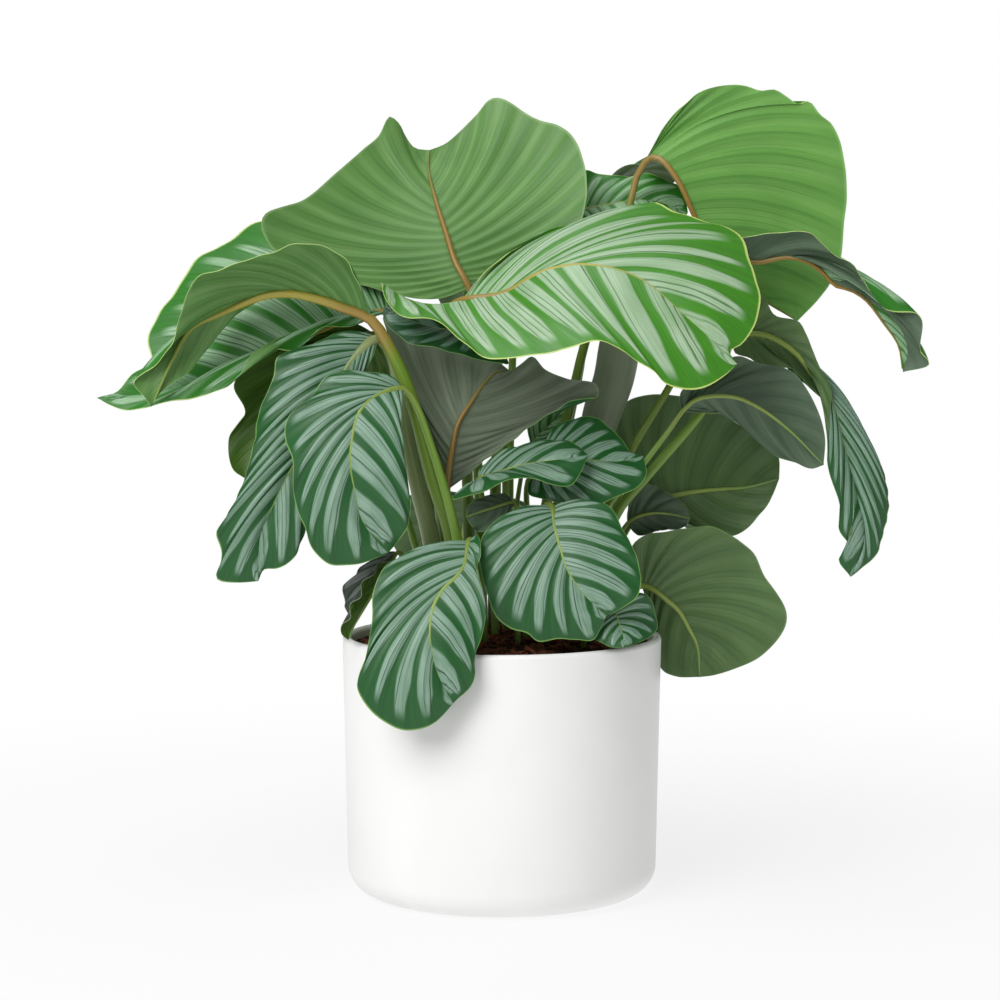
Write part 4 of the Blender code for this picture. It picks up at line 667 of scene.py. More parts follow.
# ---- Leaves ----------------------------------------------------------------------
# Points are (x, y, z) in centimetres in the pot's frame.  "stem" runs from the root up to
# the blade, "rib" is the midrib from base to tip, and "left" and "right" are the margins
# from base to tip, seen from above with the tip ahead.
LEAVES = {
    "leaf_crown_front": dict(
        stem=[(-2.2, 1.0, 17), (-2.7, 0.8, 32), (-2.9, 0.2, 41.2), (-4.0, -2.4, 45.4)],
        rib=[(-3.0, -5.0, 46.4), (0.0, -6.0, 47.0), (3.0, -7.0, 48.6), (6.2, -7.5, 49.1), (10.0, -8.0, 48.2),
             (14.0, -9.5, 44.9), (17.4, -10.6, 41.7)],
        left=[(-0.9, -4.0, 48.8), (1.3, -2.5, 50.5), (3.8, -1.0, 51.8), (6.9, 0.0, 52.4), (9.2, 0.5, 53.1),
              (11.8, 0.5, 54.0), (13.8, 0.0, 53.0), (16.1, -1.0, 52.2), (18.2, -2.5, 51.5), (19.0, -5.0, 48.8),
              (19.4, -7.0, 46.4), (18.9, -8.6, 44.6), (17.9, -9.4, 43.2), (16.9, -9.9, 42.6)],
        right=[(-4.6, -5.3, 46.1), (-6.2, -5.1, 46.2), (-7.6, -5.3, 46.7), (-9.1, -6.0, 47.7), (-8.8, -7.0, 46.6),
               (-8.0, -7.8, 45.6), (-6.8, -8.3, 45.1), (-5.2, -8.7, 45.0), (-3.9, -9.5, 44.1),
               (-1.3, -10.5, 42.3), (1.0, -11.0, 42.2), (3.7, -11.5, 42.5), (7.3, -12.0, 43.5), (9.9, -12.0, 41.9),
               (11.2, -12.0, 41.1), (12.1, -12.0, 40.3), (13.5, -11.8, 39.9), (14.9, -11.5, 40.0), (16.4, -11.0, 40.8)],
        fan=(2.6, 1.3), bow=(0.12, 0.1), lobes=(0, 4), bands=(14, 13),
        waves=((4, 0.15, 0.0), (4, 0.15, 0.3)), mesh=(14, 4), girth=0.45),
    "leaf_tall_back": dict(
        stem=[(-0.8, 2.5, 17), (-0.5, 2.6, 32), (-0.4, 2.2, 42)],
        rib=[(-2.5, 0.5, 47.2), (-3.6, 1.0, 49.1), (-4.3, 2.0, 51.2), (-5.2, 4.0, 54.0), (-5.9, 6.6, 56.9), (-5.8, 7.3, 58.3)],
        left=[(-1.2, 1.0, 46.9), (1.4, 1.8, 48.0), (4.2, 2.3, 50.0), (6.2, 2.5, 52.5), (6.7, 3.5, 55.7), (5.9, 5.0, 58.8),
              (4.7, 6.0, 60.1), (2.5, 7.0, 60.9), (-0.6, 8.0, 62.5), (-2.6, 8.0, 60.6), (-4.4, 7.6, 58.9)],
        right=[(-5.6, 0.0, 46.4), (-10.3, -1.0, 47.4), (-14.8, -1.6, 49.2), (-17.9, -1.6, 50.6), (-18.5, -1.0, 52.7),
               (-15.3, 1.0, 54.3), (-12.9, 3.0, 56.4), (-11.0, 5.0, 58.3), (-9.8, 6.0, 59.4), (-9.0, 6.5, 60.9),
               (-8.3, 7.0, 60.4), (-7.7, 7.2, 59.4), (-7.0, 7.2, 58.5)],
        fan=(1.5, 1.3), bow=(0.06, 0.05), bands=(16, 17),
        waves=((5, 0.1, 0.0), (5, 0.1, 0.3)), mesh=(14, 4), girth=0.45),
    "leaf_left_striped": dict(
        stem=[(-3.8, 0.8, 17), (-5.2, 1.0, 32), (-7.3, 0.6, 41)],
        rib=[(-8.9, -0.6, 45.4), (-11.7, -1.4, 45.0), (-14.6, -2.0, 43.9), (-17.1, -2.4, 43.0), (-19.6, -2.6, 41.9),
             (-22.0, -2.9, 40.9), (-25.8, -3.6, 39.4), (-30.9, -4.7, 38.95)],
        left=[(-11.1, -2.8, 44.6), (-13.5, -3.8, 44.2), (-15.7, -4.6, 42.8), (-17.4, -5.2, 42.7), (-19.0, -5.8, 42.0),
              (-19.9, -6.2, 41.0), (-21.3, -6.4, 39.6), (-22.9, -6.3, 38.9), (-25.0, -5.9, 38.95), (-27.2, -5.5, 38.05),
              (-28.7, -5.2, 38.05), (-30.0, -4.9, 38.5)],
        right=[(-9.4, 1.5, 47.5), (-12.9, 3.0, 50.3), (-16.1, 3.8, 52.0), (-19.0, 4.0, 52.6), (-20.5, 3.5, 52.0),
               (-21.7, 3.0, 50.8), (-24.1, 2.0, 49.3), (-25.5, 0.8, 47.2), (-26.8, -0.5, 44.9), (-27.4, -1.6, 43.2),
               (-27.0, -2.6, 41.6), (-28.3, -3.4, 40.8), (-29.5, -4.1, 39.3)],
        mesh=(12, 4)),
    "leaf_left_folded": dict(
        stem=[(-3.2, -4.4, 17), (-3.8, -5.0, 28.2), (-5.2, -5.5, 32.7), (-6.8, -6.0, 38.7), (-8.0, -6.0, 41.8)],
        rib=[(-9.9, -6.0, 44.9), (-11.9, -6.0, 46.0), (-14.3, -6.0, 46.8), (-16.2, -6.0, 47.1), (-18.0, -6.0, 46.9),
             (-19.6, -6.0, 46.3), (-21.6, -6.0, 45.4), (-23.5, -6.3, 44.4), (-24.9, -7.0, 41.9), (-26.4, -7.5, 38.4)],
        left=[(-10.3, -7.0, 46.2), (-10.9, -8.5, 48.1), (-11.7, -9.5, 49.5), (-13.5, -10.0, 50.4), (-15.4, -10.5, 50.6),
              (-17.3, -10.5, 49.8), (-19.9, -10.5, 49.0), (-22.6, -10.0, 48.1), (-23.3, -9.5, 46.9), (-24.1, -9.0, 45.0),
              (-24.9, -8.5, 42.8), (-26.1, -8.2, 41.4), (-27.7, -8.0, 40.2), (-27.0, -7.8, 39.3)],
        right=[(-10.3, -5.0, 45.8), (-12.0, -3.8, 47.2), (-15.5, -3.2, 48.3), (-18.6, -3.2, 47.9), (-21.2, -3.7, 46.4),
               (-22.8, -4.5, 44.1), (-23.2, -5.5, 42.6), (-23.4, -6.0, 41.3), (-24.2, -6.5, 40.6), (-25.6, -7.0, 39.6)],
        fan=(2.2, 2.2), bow=(0.1, 0.05), bands=(13, 13),
        waves=((5, 0.1, 0.0), (5, 0.1, 0.3)), mesh=(14, 4), girth=0.66),
    "leaf_left_hanging": dict(
        stem=[(-4.6, -3.0, 17), (-5.4, -3.5, 27.6), (-6.4, -4.0, 31.9), (-7.2, -4.3, 35.7), (-7.8, -4.5, 39.5),
              (-8.5, -4.6, 42.4)],
        rib=[(-9.4, -5.0, 43.5), (-11.1, -6.0, 42.2), (-13.0, -7.0, 38.9), (-14.4, -7.5, 36.1), (-16.0, -8.0, 33.5),
             (-17.4, -8.0, 30.7), (-18.2, -8.0, 28.8), (-18.4, -8.0, 25.25)],
        left=[(-9.9, -6.0, 41.9), (-11.5, -7.0, 38.9), (-12.9, -7.5, 35.1), (-14.0, -8.0, 31.4), (-14.9, -8.0, 28.9),
              (-15.8, -8.0, 26.9), (-17.0, -8.0, 26.2), (-18.0, -8.0, 26.1)],
        right=[(-11.6, -5.0, 44.1), (-14.6, -5.9, 42.9), (-16.9, -6.6, 42.2), (-17.3, -6.5, 40.4), (-18.4, -7.0, 37.9),
               (-18.7, -7.5, 35.5), (-19.6, -8.0, 32.5), (-20.8, -8.3, 30.0), (-21.5, -8.3, 29.0), (-21.1, -8.2, 27.3),
               (-21.5, -8.0, 25.4), (-19.9, -8.0, 25.15)],
        fan=(1.8, 1.9), bow=(0.05, 0.1), bands=(14, 17), mesh=(12, 4), girth=0.7),
    "leaf_left_rear": dict(
        stem=[(-5.2, 2.2, 17), (-6.0, 2.6, 32), (-8.4, 1.7, 40.6)],
        rib=[(-9.9, 0.2, 43.7), (-14.1, -0.9, 41.4), (-16.8, -1.5, 38.7), (-18.7, -1.5, 35.6), (-20.0, -1.7, 32.6)],
        left=[(-11.2, 0.5, 44.5), (-13.4, 0.0, 44.3), (-15.9, -0.6, 43.3), (-18.6, -1.0, 42.3), (-19.8, -1.5, 41.2),
              (-20.8, -1.5, 39.8), (-19.9, -1.5, 37.6), (-21.1, -1.5, 36.0), (-21.2, -1.7, 34.4), (-20.8, -1.8, 33.2)],
        right=[(-9.0, -0.5, 42.6), (-8.5, -1.0, 41.2), (-8.6, -1.7, 39.8), (-10.2, -2.3, 37.8), (-12.7, -2.6, 35.9),
               (-15.5, -2.6, 34.0), (-18.3, -2.2, 32.7)],
        mesh=(12, 3)),
    "leaf_left_front": dict(
        stem=[(-1.9, -6.2, 17), (-3.4, -6.6, 28.3), (-5.5, -7.1, 35.9), (-6.6, -7.6, 38.8)],
        rib=[(-7.4, -8.1, 39.8), (-9.0, -9.0, 39.5), (-9.9, -9.3, 39.0), (-10.7, -9.7, 38.0), (-11.1, -10.0, 36.6),
             (-11.3, -10.3, 34.3), (-10.9, -10.3, 32.0), (-10.5, -10.2, 30.2), (-9.4, -10.0, 28.5), (-8.5, -10.0, 27.6)],
        left=[(-7.5, -8.5, 38.9), (-7.7, -9.0, 37.8), (-7.5, -9.3, 36.4), (-7.5, -9.5, 35.0), (-7.1, -9.7, 33.1),
              (-6.8, -9.8, 31.0), (-7.1, -9.8, 29.5), (-7.8, -9.9, 28.4)],
        right=[(-8.3, -8.0, 40.8), (-10.2, -8.2, 41.0), (-11.8, -8.4, 41.1), (-13.1, -8.7, 40.8), (-14.3, -9.0, 39.2),
               (-16.0, -9.3, 37.6), (-16.2, -9.7, 36.0), (-15.6, -10.0, 34.7), (-15.5, -10.0, 31.6), (-14.6, -10.0, 29.2),
               (-14.0, -10.0, 27.7), (-12.8, -10.0, 26.7), (-10.6, -10.0, 26.8)],
        mesh=(12, 4)),
    "leaf_centre_upright": dict(
        stem=[(-3.0, -2.4, 17), (-3.8, -3.0, 26)],
        rib=[(-4.2, -3.5, 31.8), (-3.8, -3.5, 34.9), (-3.4, -3.2, 36.8), (-2.5, -2.8, 38.3), (-1.3, -2.2, 40.0),
             (-0.4, -1.8, 40.8), (1.0, -1.0, 40.6)],
        left=[(-2.6, -3.8, 33.0), (-1.6, -4.0, 33.9), (0.6, -4.0, 35.5), (2.3, -4.0, 36.8), (4.3, -4.0, 38.1),
              (5.7, -4.0, 38.8), (7.3, -4.0, 39.0), (7.2, -3.7, 40.0), (5.1, -3.0, 40.3), (3.3, -2.5, 41.1),
              (2.4, -2.0, 42.0), (1.6, -1.6, 41.4)],
        right=[(-5.3, -3.4, 33.6), (-6.0, -3.3, 36.1), (-6.7, -3.0, 38.7), (-8.1, -2.5, 42.2), (-9.1, -2.4, 45.2),
               (-7.9, -1.5, 44.4), (-4.8, -1.2, 42.9), (-2.1, -1.0, 42.0), (-0.4, -1.0, 41.6)],
        fan=(1.3, 1.5), bow=(0.03, 0.06), bands=(12, 11),
        waves=((5, 0.1, 0.0), (5, 0.1, 0.3)), mesh=(12, 4)),
    "leaf_centre_dark": dict(
        stem=[(0.3, 0.6, 17), (0.2, 0.8, 36), (-0.3, 0.2, 41.8), (-0.6, -1.5, 43.8)],
        rib=[(-1.1, -3.2, 44.1), (-3.6, -4.8, 44.1), (-5.9, -5.2, 44.5), (-9.0, -5.0, 45.9)],
        left=[(-0.2, -4.4, 43.0), (0.4, -5.5, 41.4), (-0.9, -6.0, 41.9), (-2.4, -6.3, 41.9), (-3.7, -6.6, 42.6),
              (-5.6, -6.6, 42.8), (-7.3, -6.3, 43.4), (-8.5, -5.8, 44.2), (-9.0, -5.3, 45.2)],
        right=[(-2.4, -4.0, 45.0), (-4.7, -4.4, 45.3), (-7.0, -4.6, 45.8)],
        mesh=(10, 3), girth=0.3),
    "leaf_front_round": dict(
        stem=[(1.8, -4.0, 17), (2.5, -4.5, 26), (3.4, -6.2, 30.8)],
        rib=[(3.8, -7.5, 30.8), (3.9, -8.5, 29.7), (4.3, -9.3, 28.1), (4.8, -9.8, 26.5), (5.8, -10.2, 24.9),
             (6.9, -10.3, 23.7), (7.8, -10.2, 22.9)],
        left=[(5.3, -7.8, 31.4), (7.0, -8.2, 31.3), (8.2, -8.5, 30.8), (9.1, -9.0, 29.2), (10.1, -9.5, 27.2),
              (10.4, -9.8, 25.3), (10.1, -10.0, 24.3), (8.9, -10.2, 23.4)],
        right=[(2.5, -7.8, 31.0), (1.1, -8.2, 30.8), (-0.9, -9.0, 29.5), (-1.7, -9.5, 28.1), (-1.6, -10.0, 26.3),
               (-1.0, -10.4, 24.2), (-0.4, -10.5, 22.8), (0.6, -10.5, 22.0), (1.9, -10.6, 21.6), (2.7, -10.6, 21.0),
               (4.3, -10.5, 21.2), (5.5, -10.4, 21.1), (6.8, -10.4, 21.1), (7.3, -10.3, 21.8)],
        waves=((4, 0.1, 0.0), (4, 0.1, 0.3)), mesh=(13, 4)),
    "leaf_rim_small": dict(
        stem=[(5.6, -4.8, 17), (6.6, -6.0, 21.3), (7.8, -7.6, 23.2)],
        rib=[(8.4, -8.7, 23.1), (8.8, -9.2, 22.2), (9.1, -9.8, 21.2), (9.1, -10.2, 20.5)],
        left=[(9.4, -8.4, 24.2), (10.5, -8.2, 24.4), (11.2, -7.9, 23.9), (11.6, -7.5, 22.7), (11.8, -7.6, 21.7),
              (11.2, -8.5, 21.1), (10.4, -9.3, 20.8), (9.6, -9.9, 20.6)],
        right=[(7.9, -9.1, 22.6), (7.4, -9.3, 22.0), (7.1, -9.6, 21.5), (6.9, -9.8, 21.1), (7.5, -10.0, 20.8),
               (8.3, -10.2, 20.5)],
        waves=((3, 0.06, 0.0), (3, 0.06, 0.4)), mesh=(9, 3), girth=0.2),
    "leaf_over_pot": dict(
        stem=[(-1.4, -5.2, 17), (-1.6, -6.3, 24), (-2.1, -8.0, 28)],
        rib=[(-2.5, -9.5, 28.4), (-2.8, -10.8, 26.8), (-3.4, -11.5, 26.0), (-4.3, -12.3, 25.2), (-5.0, -13.0, 24.1),
             (-5.3, -13.8, 22.4), (-5.1, -14.2, 20.5), (-4.5, -14.3, 18.6), (-3.6, -14.2, 16.9)],
        left=[(-1.8, -10.1, 28.9), (-1.6, -11.0, 27.6), (-1.9, -11.5, 26.5), (-1.5, -12.2, 25.1), (-1.2, -12.8, 23.5),
              (-1.5, -13.3, 21.7), (-2.0, -13.6, 20.3), (-2.0, -13.9, 19.0), (-2.3, -14.0, 18.1), (-3.3, -14.2, 17.2)],
        right=[(-4.2, -9.5, 28.3), (-5.9, -10.0, 28.2), (-7.3, -10.5, 27.5), (-8.4, -11.0, 26.9), (-9.2, -11.5, 25.9),
               (-9.6, -12.0, 24.6), (-9.6, -12.8, 22.6), (-9.9, -13.3, 20.8), (-10.2, -13.6, 19.7), (-10.7, -13.7, 18.3),
               (-10.4, -13.8, 17.3), (-9.5, -14.0, 16.2), (-8.3, -14.1, 15.3), (-7.1, -14.2, 14.9), (-6.0, -14.3, 15.0),
               (-4.8, -14.3, 15.6)],
        waves=((4, 0.1, 0.0), (4, 0.1, 0.3)), mesh=(13, 4)),
    "leaf_rim_folded": dict(
        stem=[(-5.8, -4.6, 17), (-6.6, -4.8, 24)],
        rib=[(-7.9, -5.5, 27.2), (-8.9, -6.2, 25.8), (-9.7, -6.6, 24.5), (-10.7, -6.8, 22.8), (-11.4, -6.8, 21.5),
             (-11.7, -6.8, 20.6)],
        left=[(-8.5, -6.6, 26.8), (-9.8, -8.0, 25.9), (-10.8, -8.3, 24.3), (-11.6, -8.0, 22.6), (-12.2, -7.3, 21.2)],
        right=[(-8.9, -5.0, 27.1), (-10.0, -5.0, 26.5), (-10.95, -5.0, 25.7), (-11.9, -5.0, 24.7), (-12.2, -5.2, 23.6),
               (-11.7, -5.9, 22.5)],
        mesh=(9, 3), girth=0.28),
    "leaf_middle_small": dict(
        stem=[(-0.4, -2.8, 17), (-0.8, -3.4, 27), (-1.6, -4.8, 31.8)],
        rib=[(-1.8, -6.0, 32.8), (0.2, -6.7, 33.6), (2.1, -7.0, 34.1), (4.4, -7.2, 34.4), (6.5, -7.0, 34.7)],
        left=[(-1.7, -5.5, 33.5), (-0.2, -5.0, 34.8), (2.1, -5.0, 35.5), (4.2, -5.3, 35.8), (5.7, -6.0, 35.4)],
        right=[(-2.9, -6.9, 32.4), (-3.7, -7.9, 31.4), (-2.0, -8.5, 31.9), (0.3, -8.7, 32.8), (2.1, -8.8, 33.2),
               (3.7, -8.8, 32.6), (5.1, -8.5, 32.5), (5.9, -7.8, 33.4)],
        fan=(3.2, 3.2), bow=(0.08, 0.03), bands=(7, 6),
        waves=((4, 0.1, 0.0), (4, 0.1, 0.3)), mesh=(10, 3), girth=0.3),
    "leaf_middle_round": dict(
        stem=[(2.5, -1.8, 17), (2.2, -2.4, 27), (2.0, -3.6, 32.5)],
        rib=[(2.9, -4.5, 33.6), (4.8, -5.0, 34.1), (6.7, -5.2, 34.2), (9.0, -5.0, 34.1), (10.8, -4.5, 34.5)],
        left=[(3.3, -3.8, 35.3), (4.1, -3.3, 36.6), (6.0, -3.0, 37.4), (7.5, -3.0, 37.2), (8.9, -3.5, 36.0),
              (9.8, -4.0, 34.9)],
        right=[(2.0, -5.5, 32.4), (2.1, -6.0, 31.6), (3.6, -6.1, 31.2), (5.4, -6.5, 30.7), (6.6, -6.8, 30.7),
               (8.7, -6.3, 31.5), (10.2, -5.8, 32.1), (11.0, -5.2, 33.1)],
        fan=(3.8, 3.8), bow=(0.12, 0.1), bands=(9, 9),
        waves=((4, 0.1, 0.0), (4, 0.1, 0.3)), mesh=(11, 3), girth=0.3),
    "leaf_low_sprout": dict(
        stem=[(1.2, -5.4, 17), (1.2, -5.6, 27), (1.2, -5.5, 30.4)],
        rib=[(1.0, -5.6, 31.0), (-0.8, -6.2, 30.6), (-2.7, -6.8, 30.0)],
        left=[(0.2, -5.8, 31.7), (-1.7, -6.3, 31.4), (-2.6, -6.8, 30.8)],
        right=[(0.2, -6.0, 29.7), (-0.9, -6.8, 28.9), (-2.1, -7.0, 29.1)],
        mesh=(7, 3), girth=0.22),
    "leaf_right_middle": dict(
        stem=[(4.2, -1.4, 17), (7.0, -2.4, 28.5), (11.2, -2.5, 34.1), (13.0, -2.5, 36.5)],
        rib=[(13.9, -2.5, 37.8), (14.9, -2.7, 38.7), (16.1, -3.0, 39.0), (18.0, -3.2, 38.9), (19.8, -3.3, 38.1),
             (22.1, -3.2, 36.4), (24.8, -3.0, 33.7)],
        left=[(14.5, -2.3, 37.7), (15.7, -2.0, 37.7), (17.6, -1.8, 37.5), (19.3, -1.8, 36.3), (20.6, -2.0, 34.8),
              (21.5, -2.2, 34.2), (22.7, -2.4, 33.8), (23.9, -2.7, 33.4)],
        right=[(13.7, -2.5, 38.7), (13.9, -2.3, 39.4), (15.7, -2.0, 40.6), (18.1, -1.5, 42.0), (19.6, -1.5, 41.6),
               (22.3, -2.0, 40.9), (23.6, -2.5, 39.4), (24.5, -2.8, 37.5), (24.9, -3.0, 35.6)],
        waves=((4, 0.1, 0.0), (4, 0.1, 0.3)), mesh=(11, 4), girth=0.3),
    "leaf_right_drooping": dict(
        stem=[(5.2, -0.8, 17), (8.8, -1.3, 29.6), (11.2, -1.0, 32.6), (15.5, -0.6, 37.6), (17.0, 0.0, 40.1)],
        rib=[(18.1, 0.3, 43.3), (20.1, 0.2, 43.7), (22.5, 0.0, 42.5), (24.0, -0.3, 40.9), (25.5, -1.0, 39.0),
             (26.4, -1.8, 35.6), (27.4, -2.2, 31.7), (28.1, -2.5, 27.9), (27.0, -2.8, 25.0)],
        left=[(18.1, -0.3, 42.3), (19.2, -0.4, 41.9), (20.7, -0.5, 41.0), (22.4, -0.5, 41.1), (23.8, -0.8, 39.8),
              (25.1, -0.6, 38.6), (27.4, -0.3, 37.4), (28.6, -0.5, 35.5), (29.7, -1.0, 32.8), (30.1, -1.5, 30.4),
              (29.5, -2.0, 28.1), (29.0, -2.3, 26.6), (28.2, -2.5, 25.9)],
        right=[(19.1, 1.0, 45.6), (20.3, 0.8, 46.8), (21.3, 0.5, 45.2), (23.1, 0.2, 44.7), (23.8, 0.0, 43.5),
               (24.7, -0.7, 41.1), (25.6, -1.5, 39.4), (25.2, -2.5, 37.1), (25.1, -3.2, 33.9), (26.0, -3.3, 30.5),
               (26.0, -3.2, 28.7), (27.0, -3.0, 27.2), (26.0, -3.2, 26.4)],
        fan=(1.7, 1.7), bow=(0.04, 0.04), bands=(22, 22),
        waves=((5, 0.1, 0.0), (5, 0.1, 0.3)), mesh=(16, 3), girth=0.42),
    "leaf_right_folded": dict(
        stem=[(5.2, 1.2, 17), (9.0, 1.6, 32), (13.3, 1.5, 39.8), (17.0, 1.2, 46.5)],
        rib=[(18.3, 1.0, 49.3), (20.0, 0.5, 49.4), (22.0, 0.0, 49.8), (23.6, -0.5, 49.5), (24.9, -0.8, 48.6),
             (25.8, -1.0, 47.6), (27.1, -1.0, 47.2), (28.3, -1.0, 46.4), (29.6, -1.0, 44.7), (30.8, -1.0, 42.9),
             (31.1, -1.2, 40.8)],
        left=[(18.7, 2.5, 50.5), (22.7, 2.5, 51.1), (26.0, 1.6, 49.3), (28.0, 0.6, 48.0), (29.8, 0.0, 46.8),
              (31.3, -0.4, 45.8), (32.2, -0.5, 44.5), (32.3, -0.5, 42.7), (32.5, -0.7, 41.6)],
        right=[(18.2, -0.5, 51.0), (20.4, -1.5, 51.4), (21.9, -2.0, 51.6), (23.7, -2.3, 51.6), (24.4, -2.3, 50.8),
               (25.7, -2.5, 49.7), (27.1, -2.5, 49.1), (27.7, -2.6, 47.9), (29.3, -2.6, 45.8), (32.2, -2.4, 45.1),
               (32.3, -2.2, 42.6), (33.0, -1.9, 41.4)],
        waves=((5, 0.1, 0.0), (5, 0.1, 0.3)), mesh=(13, 3), girth=0.35),
    "leaf_right_tall": dict(
        stem=[(1.5, 3.2, 17), (3.5, 3.2, 30), (5.4, 3.0, 38), (6.6, 3.5, 43), (8.3, 4.0, 47.9), (10.0, 4.0, 53.3),
              (10.7, 4.0, 56.2)],
        rib=[(11.3, 3.7, 57.2), (12.0, 3.3, 57.6), (12.7, 3.0, 57.3), (13.4, 2.8, 56.5), (14.2, 2.6, 55.2),
             (15.4, 2.5, 52.5), (17.2, 2.5, 49.5), (20.0, 2.5, 46.8), (23.3, 2.5, 44.7)],
        left=[(11.2, 5.6, 57.0), (12.4, 8.5, 57.5), (14.6, 11.5, 56.5), (16.4, 12.6, 54.0), (18.0, 11.6, 51.0),
              (20.2, 8.6, 48.0), (22.0, 5.4, 46.0)],
        right=[(11.49, 4.0, 57.16), (12.63, 4.4, 59.68), (14.34, 4.9, 61.67), (16.05, 5.3, 62.95),
               (18.32, 5.7, 63.4), (19.46, 5.9, 63.27), (20.6, 6.0, 62.92), (21.67, 6.1, 63.01),
               (22.72, 6.1, 62.44), (23.56, 6.0, 61.88), (24.56, 6.2, 62.09), (25.38, 6.0, 61.03),
               (26.3, 6.1, 60.33), (26.92, 6.0, 58.93), (27.28, 5.9, 57.24), (27.5, 5.7, 54.69),
               (27.21, 5.3, 51.88), (26.98, 4.9, 49.78), (26.17, 4.4, 47.82), (25.12, 3.8, 46.43)],
        fan=(2.2, 3.2), bow=(0.05, 0.2), bands=(9, 15),
        waves=((4, 0.1, 0.0), (4, 0.1, 0.3)), arch=(0.0, 0.03), mesh=(14, 4), girth=0.42),
    "leaf_right_rear": dict(
        stem=[(5.8, 3.3, 17), (8.4, 3.4, 25), (10.5, 3.4, 29)],
        rib=[(11.8, 3.4, 30.2), (13.1, 3.8, 30.6), (15.1, 4.2, 31.0), (17.3, 4.6, 31.2), (19.7, 4.6, 31.4),
             (22.1, 4.0, 32.1)],
        left=[(12.9, 3.3, 29.6), (14.9, 3.5, 28.5), (16.9, 3.7, 28.1), (18.4, 3.8, 27.6), (19.5, 3.8, 28.1),
              (20.5, 3.8, 29.2), (21.4, 3.9, 30.4)],
        right=[(10.0, 3.7, 32.2), (9.1, 4.4, 34.5), (9.2, 4.9, 36.8), (10.0, 5.2, 38.2), (12.1, 5.5, 38.8),
               (15.1, 5.8, 38.5), (18.3, 5.8, 37.6), (20.8, 5.4, 36.1), (22.1, 4.6, 33.9)],
        waves=((4, 0.1, 0.0), (4, 0.1, 0.3)), mesh=(11, 4)),
    "leaf_right_small": dict(
        stem=[(6.3, 1.6, 17), (8.2, 1.8, 24)],
        rib=[(9.9, 2.0, 28.7), (11.6, 1.9, 29.5), (13.1, 1.8, 29.5), (14.9, 1.8, 29.1)],
        left=[(10.8, 1.8, 27.8), (12.5, 1.8, 28.2), (14.3, 1.8, 28.4)],
        right=[(10.2, 2.2, 30.7), (11.5, 2.2, 31.8), (13.2, 2.0, 31.1), (14.5, 1.9, 30.1)],
        mesh=(8, 3), girth=0.25),
    "leaf_right_low": dict(
        stem=[(6.6, 0.0, 17), (8.6, 0.3, 22.5)],
        rib=[(11.0, 0.8, 23.9), (12.0, 0.9, 23.6), (12.9, 1.0, 22.9), (14.0, 1.2, 21.9), (14.8, 1.4, 20.5),
             (15.5, 1.6, 19.0), (15.7, 1.8, 16.5)],
        left=[(11.3, 1.6, 23.1), (11.9, 2.6, 21.7), (12.4, 3.8, 19.5), (12.6, 4.2, 17.2), (13.6, 3.2, 16.4)],
        right=[(10.1, 0.8, 25.6), (10.3, 0.7, 27.2), (11.5, 0.6, 28.0), (12.9, 0.5, 28.2), (16.6, 0.5, 28.6),
               (18.3, 0.7, 27.7), (19.8, 1.0, 26.5), (20.8, 1.3, 24.5), (22.1, 1.6, 22.7), (22.6, 1.8, 21.2),
               (22.2, 1.9, 19.9), (20.5, 2.0, 18.1), (18.4, 2.0, 17.1), (16.8, 2.0, 16.6)],
        waves=((4, 0.1, 0.0), (4, 0.1, 0.3)), mesh=(11, 4)),
    "leaf_rear_striped": dict(
        stem=[(2.6, 4.8, 17), (5.0, 5.4, 34), (6.6, 5.8, 43), (6.3, 6.0, 48)],
        rib=[(5.9, 6.2, 53.0), (8.7, 6.5, 54.0), (11.8, 6.9, 54.3), (14.9, 6.6, 53.3)],
        left=[(6.6, 7.3, 56.6), (9.0, 7.8, 56.2), (11.4, 8.0, 56.4), (13.4, 7.6, 55.9), (14.6, 7.2, 54.9)],
        right=[(7.0, 5.6, 51.1), (10.3, 5.6, 51.1), (13.5, 5.9, 51.2)],
        mesh=(9, 3), girth=0.3),
    "leaf_rear_small": dict(
        stem=[(0.3, 4.6, 17), (1.2, 5.0, 30)],
        rib=[(2.3, 4.4, 34.8), (3.8, 4.4, 36.4), (5.2, 4.4, 37.9)],
        left=[(2.1, 4.5, 36.6), (3.0, 4.5, 37.9), (4.2, 4.5, 38.4)],
        right=[(3.6, 4.2, 35.2), (4.8, 4.2, 36.2), (5.3, 4.3, 37.2)],
        mesh=(7, 3), girth=0.25),
    # The far side of the plant: round leaves that arch outward and down.
    "leaf_far_left": dict(
        stem=[(-3.5, 4.5, 17), (-6.0, 7.0, 32), (-8.2, 9.0, 42)],
        rib=[(-9.5, 10.5, 45.5), (-12.5, 13.5, 46.5), (-15.5, 16.5, 45.0), (-18.0, 19.0, 41.0)],
        width=7.5, face=(-0.2, -0.1, 1.0), mesh=(11, 3)),
    "leaf_far_middle": dict(
        stem=[(0.5, 6.5, 17), (0.6, 9.0, 33), (1.0, 12.5, 45)],
        rib=[(1.0, 14.5, 47.4), (0.8, 19.0, 48.2), (0.2, 23.0, 46.2), (-0.8, 26.0, 42.4)],
        width=7.2, face=(0.0, 0.2, 1.0), mesh=(11, 3)),
    "leaf_far_right": dict(
        stem=[(3.6, 6.4, 17), (6.5, 9.0, 34), (9.0, 11.5, 44)],
        rib=[(10.2, 13.0, 47.0), (12.6, 16.5, 48.5), (14.6, 20.0, 47.0), (16.0, 23.0, 43.0)],
        width=6.5, face=(0.2, 0.1, 1.0), mesh=(11, 3)),
    "leaf_far_high": dict(
        stem=[(-1.4, 5.4, 17), (-2.2, 8.5, 38), (-3.0, 10.8, 48)],
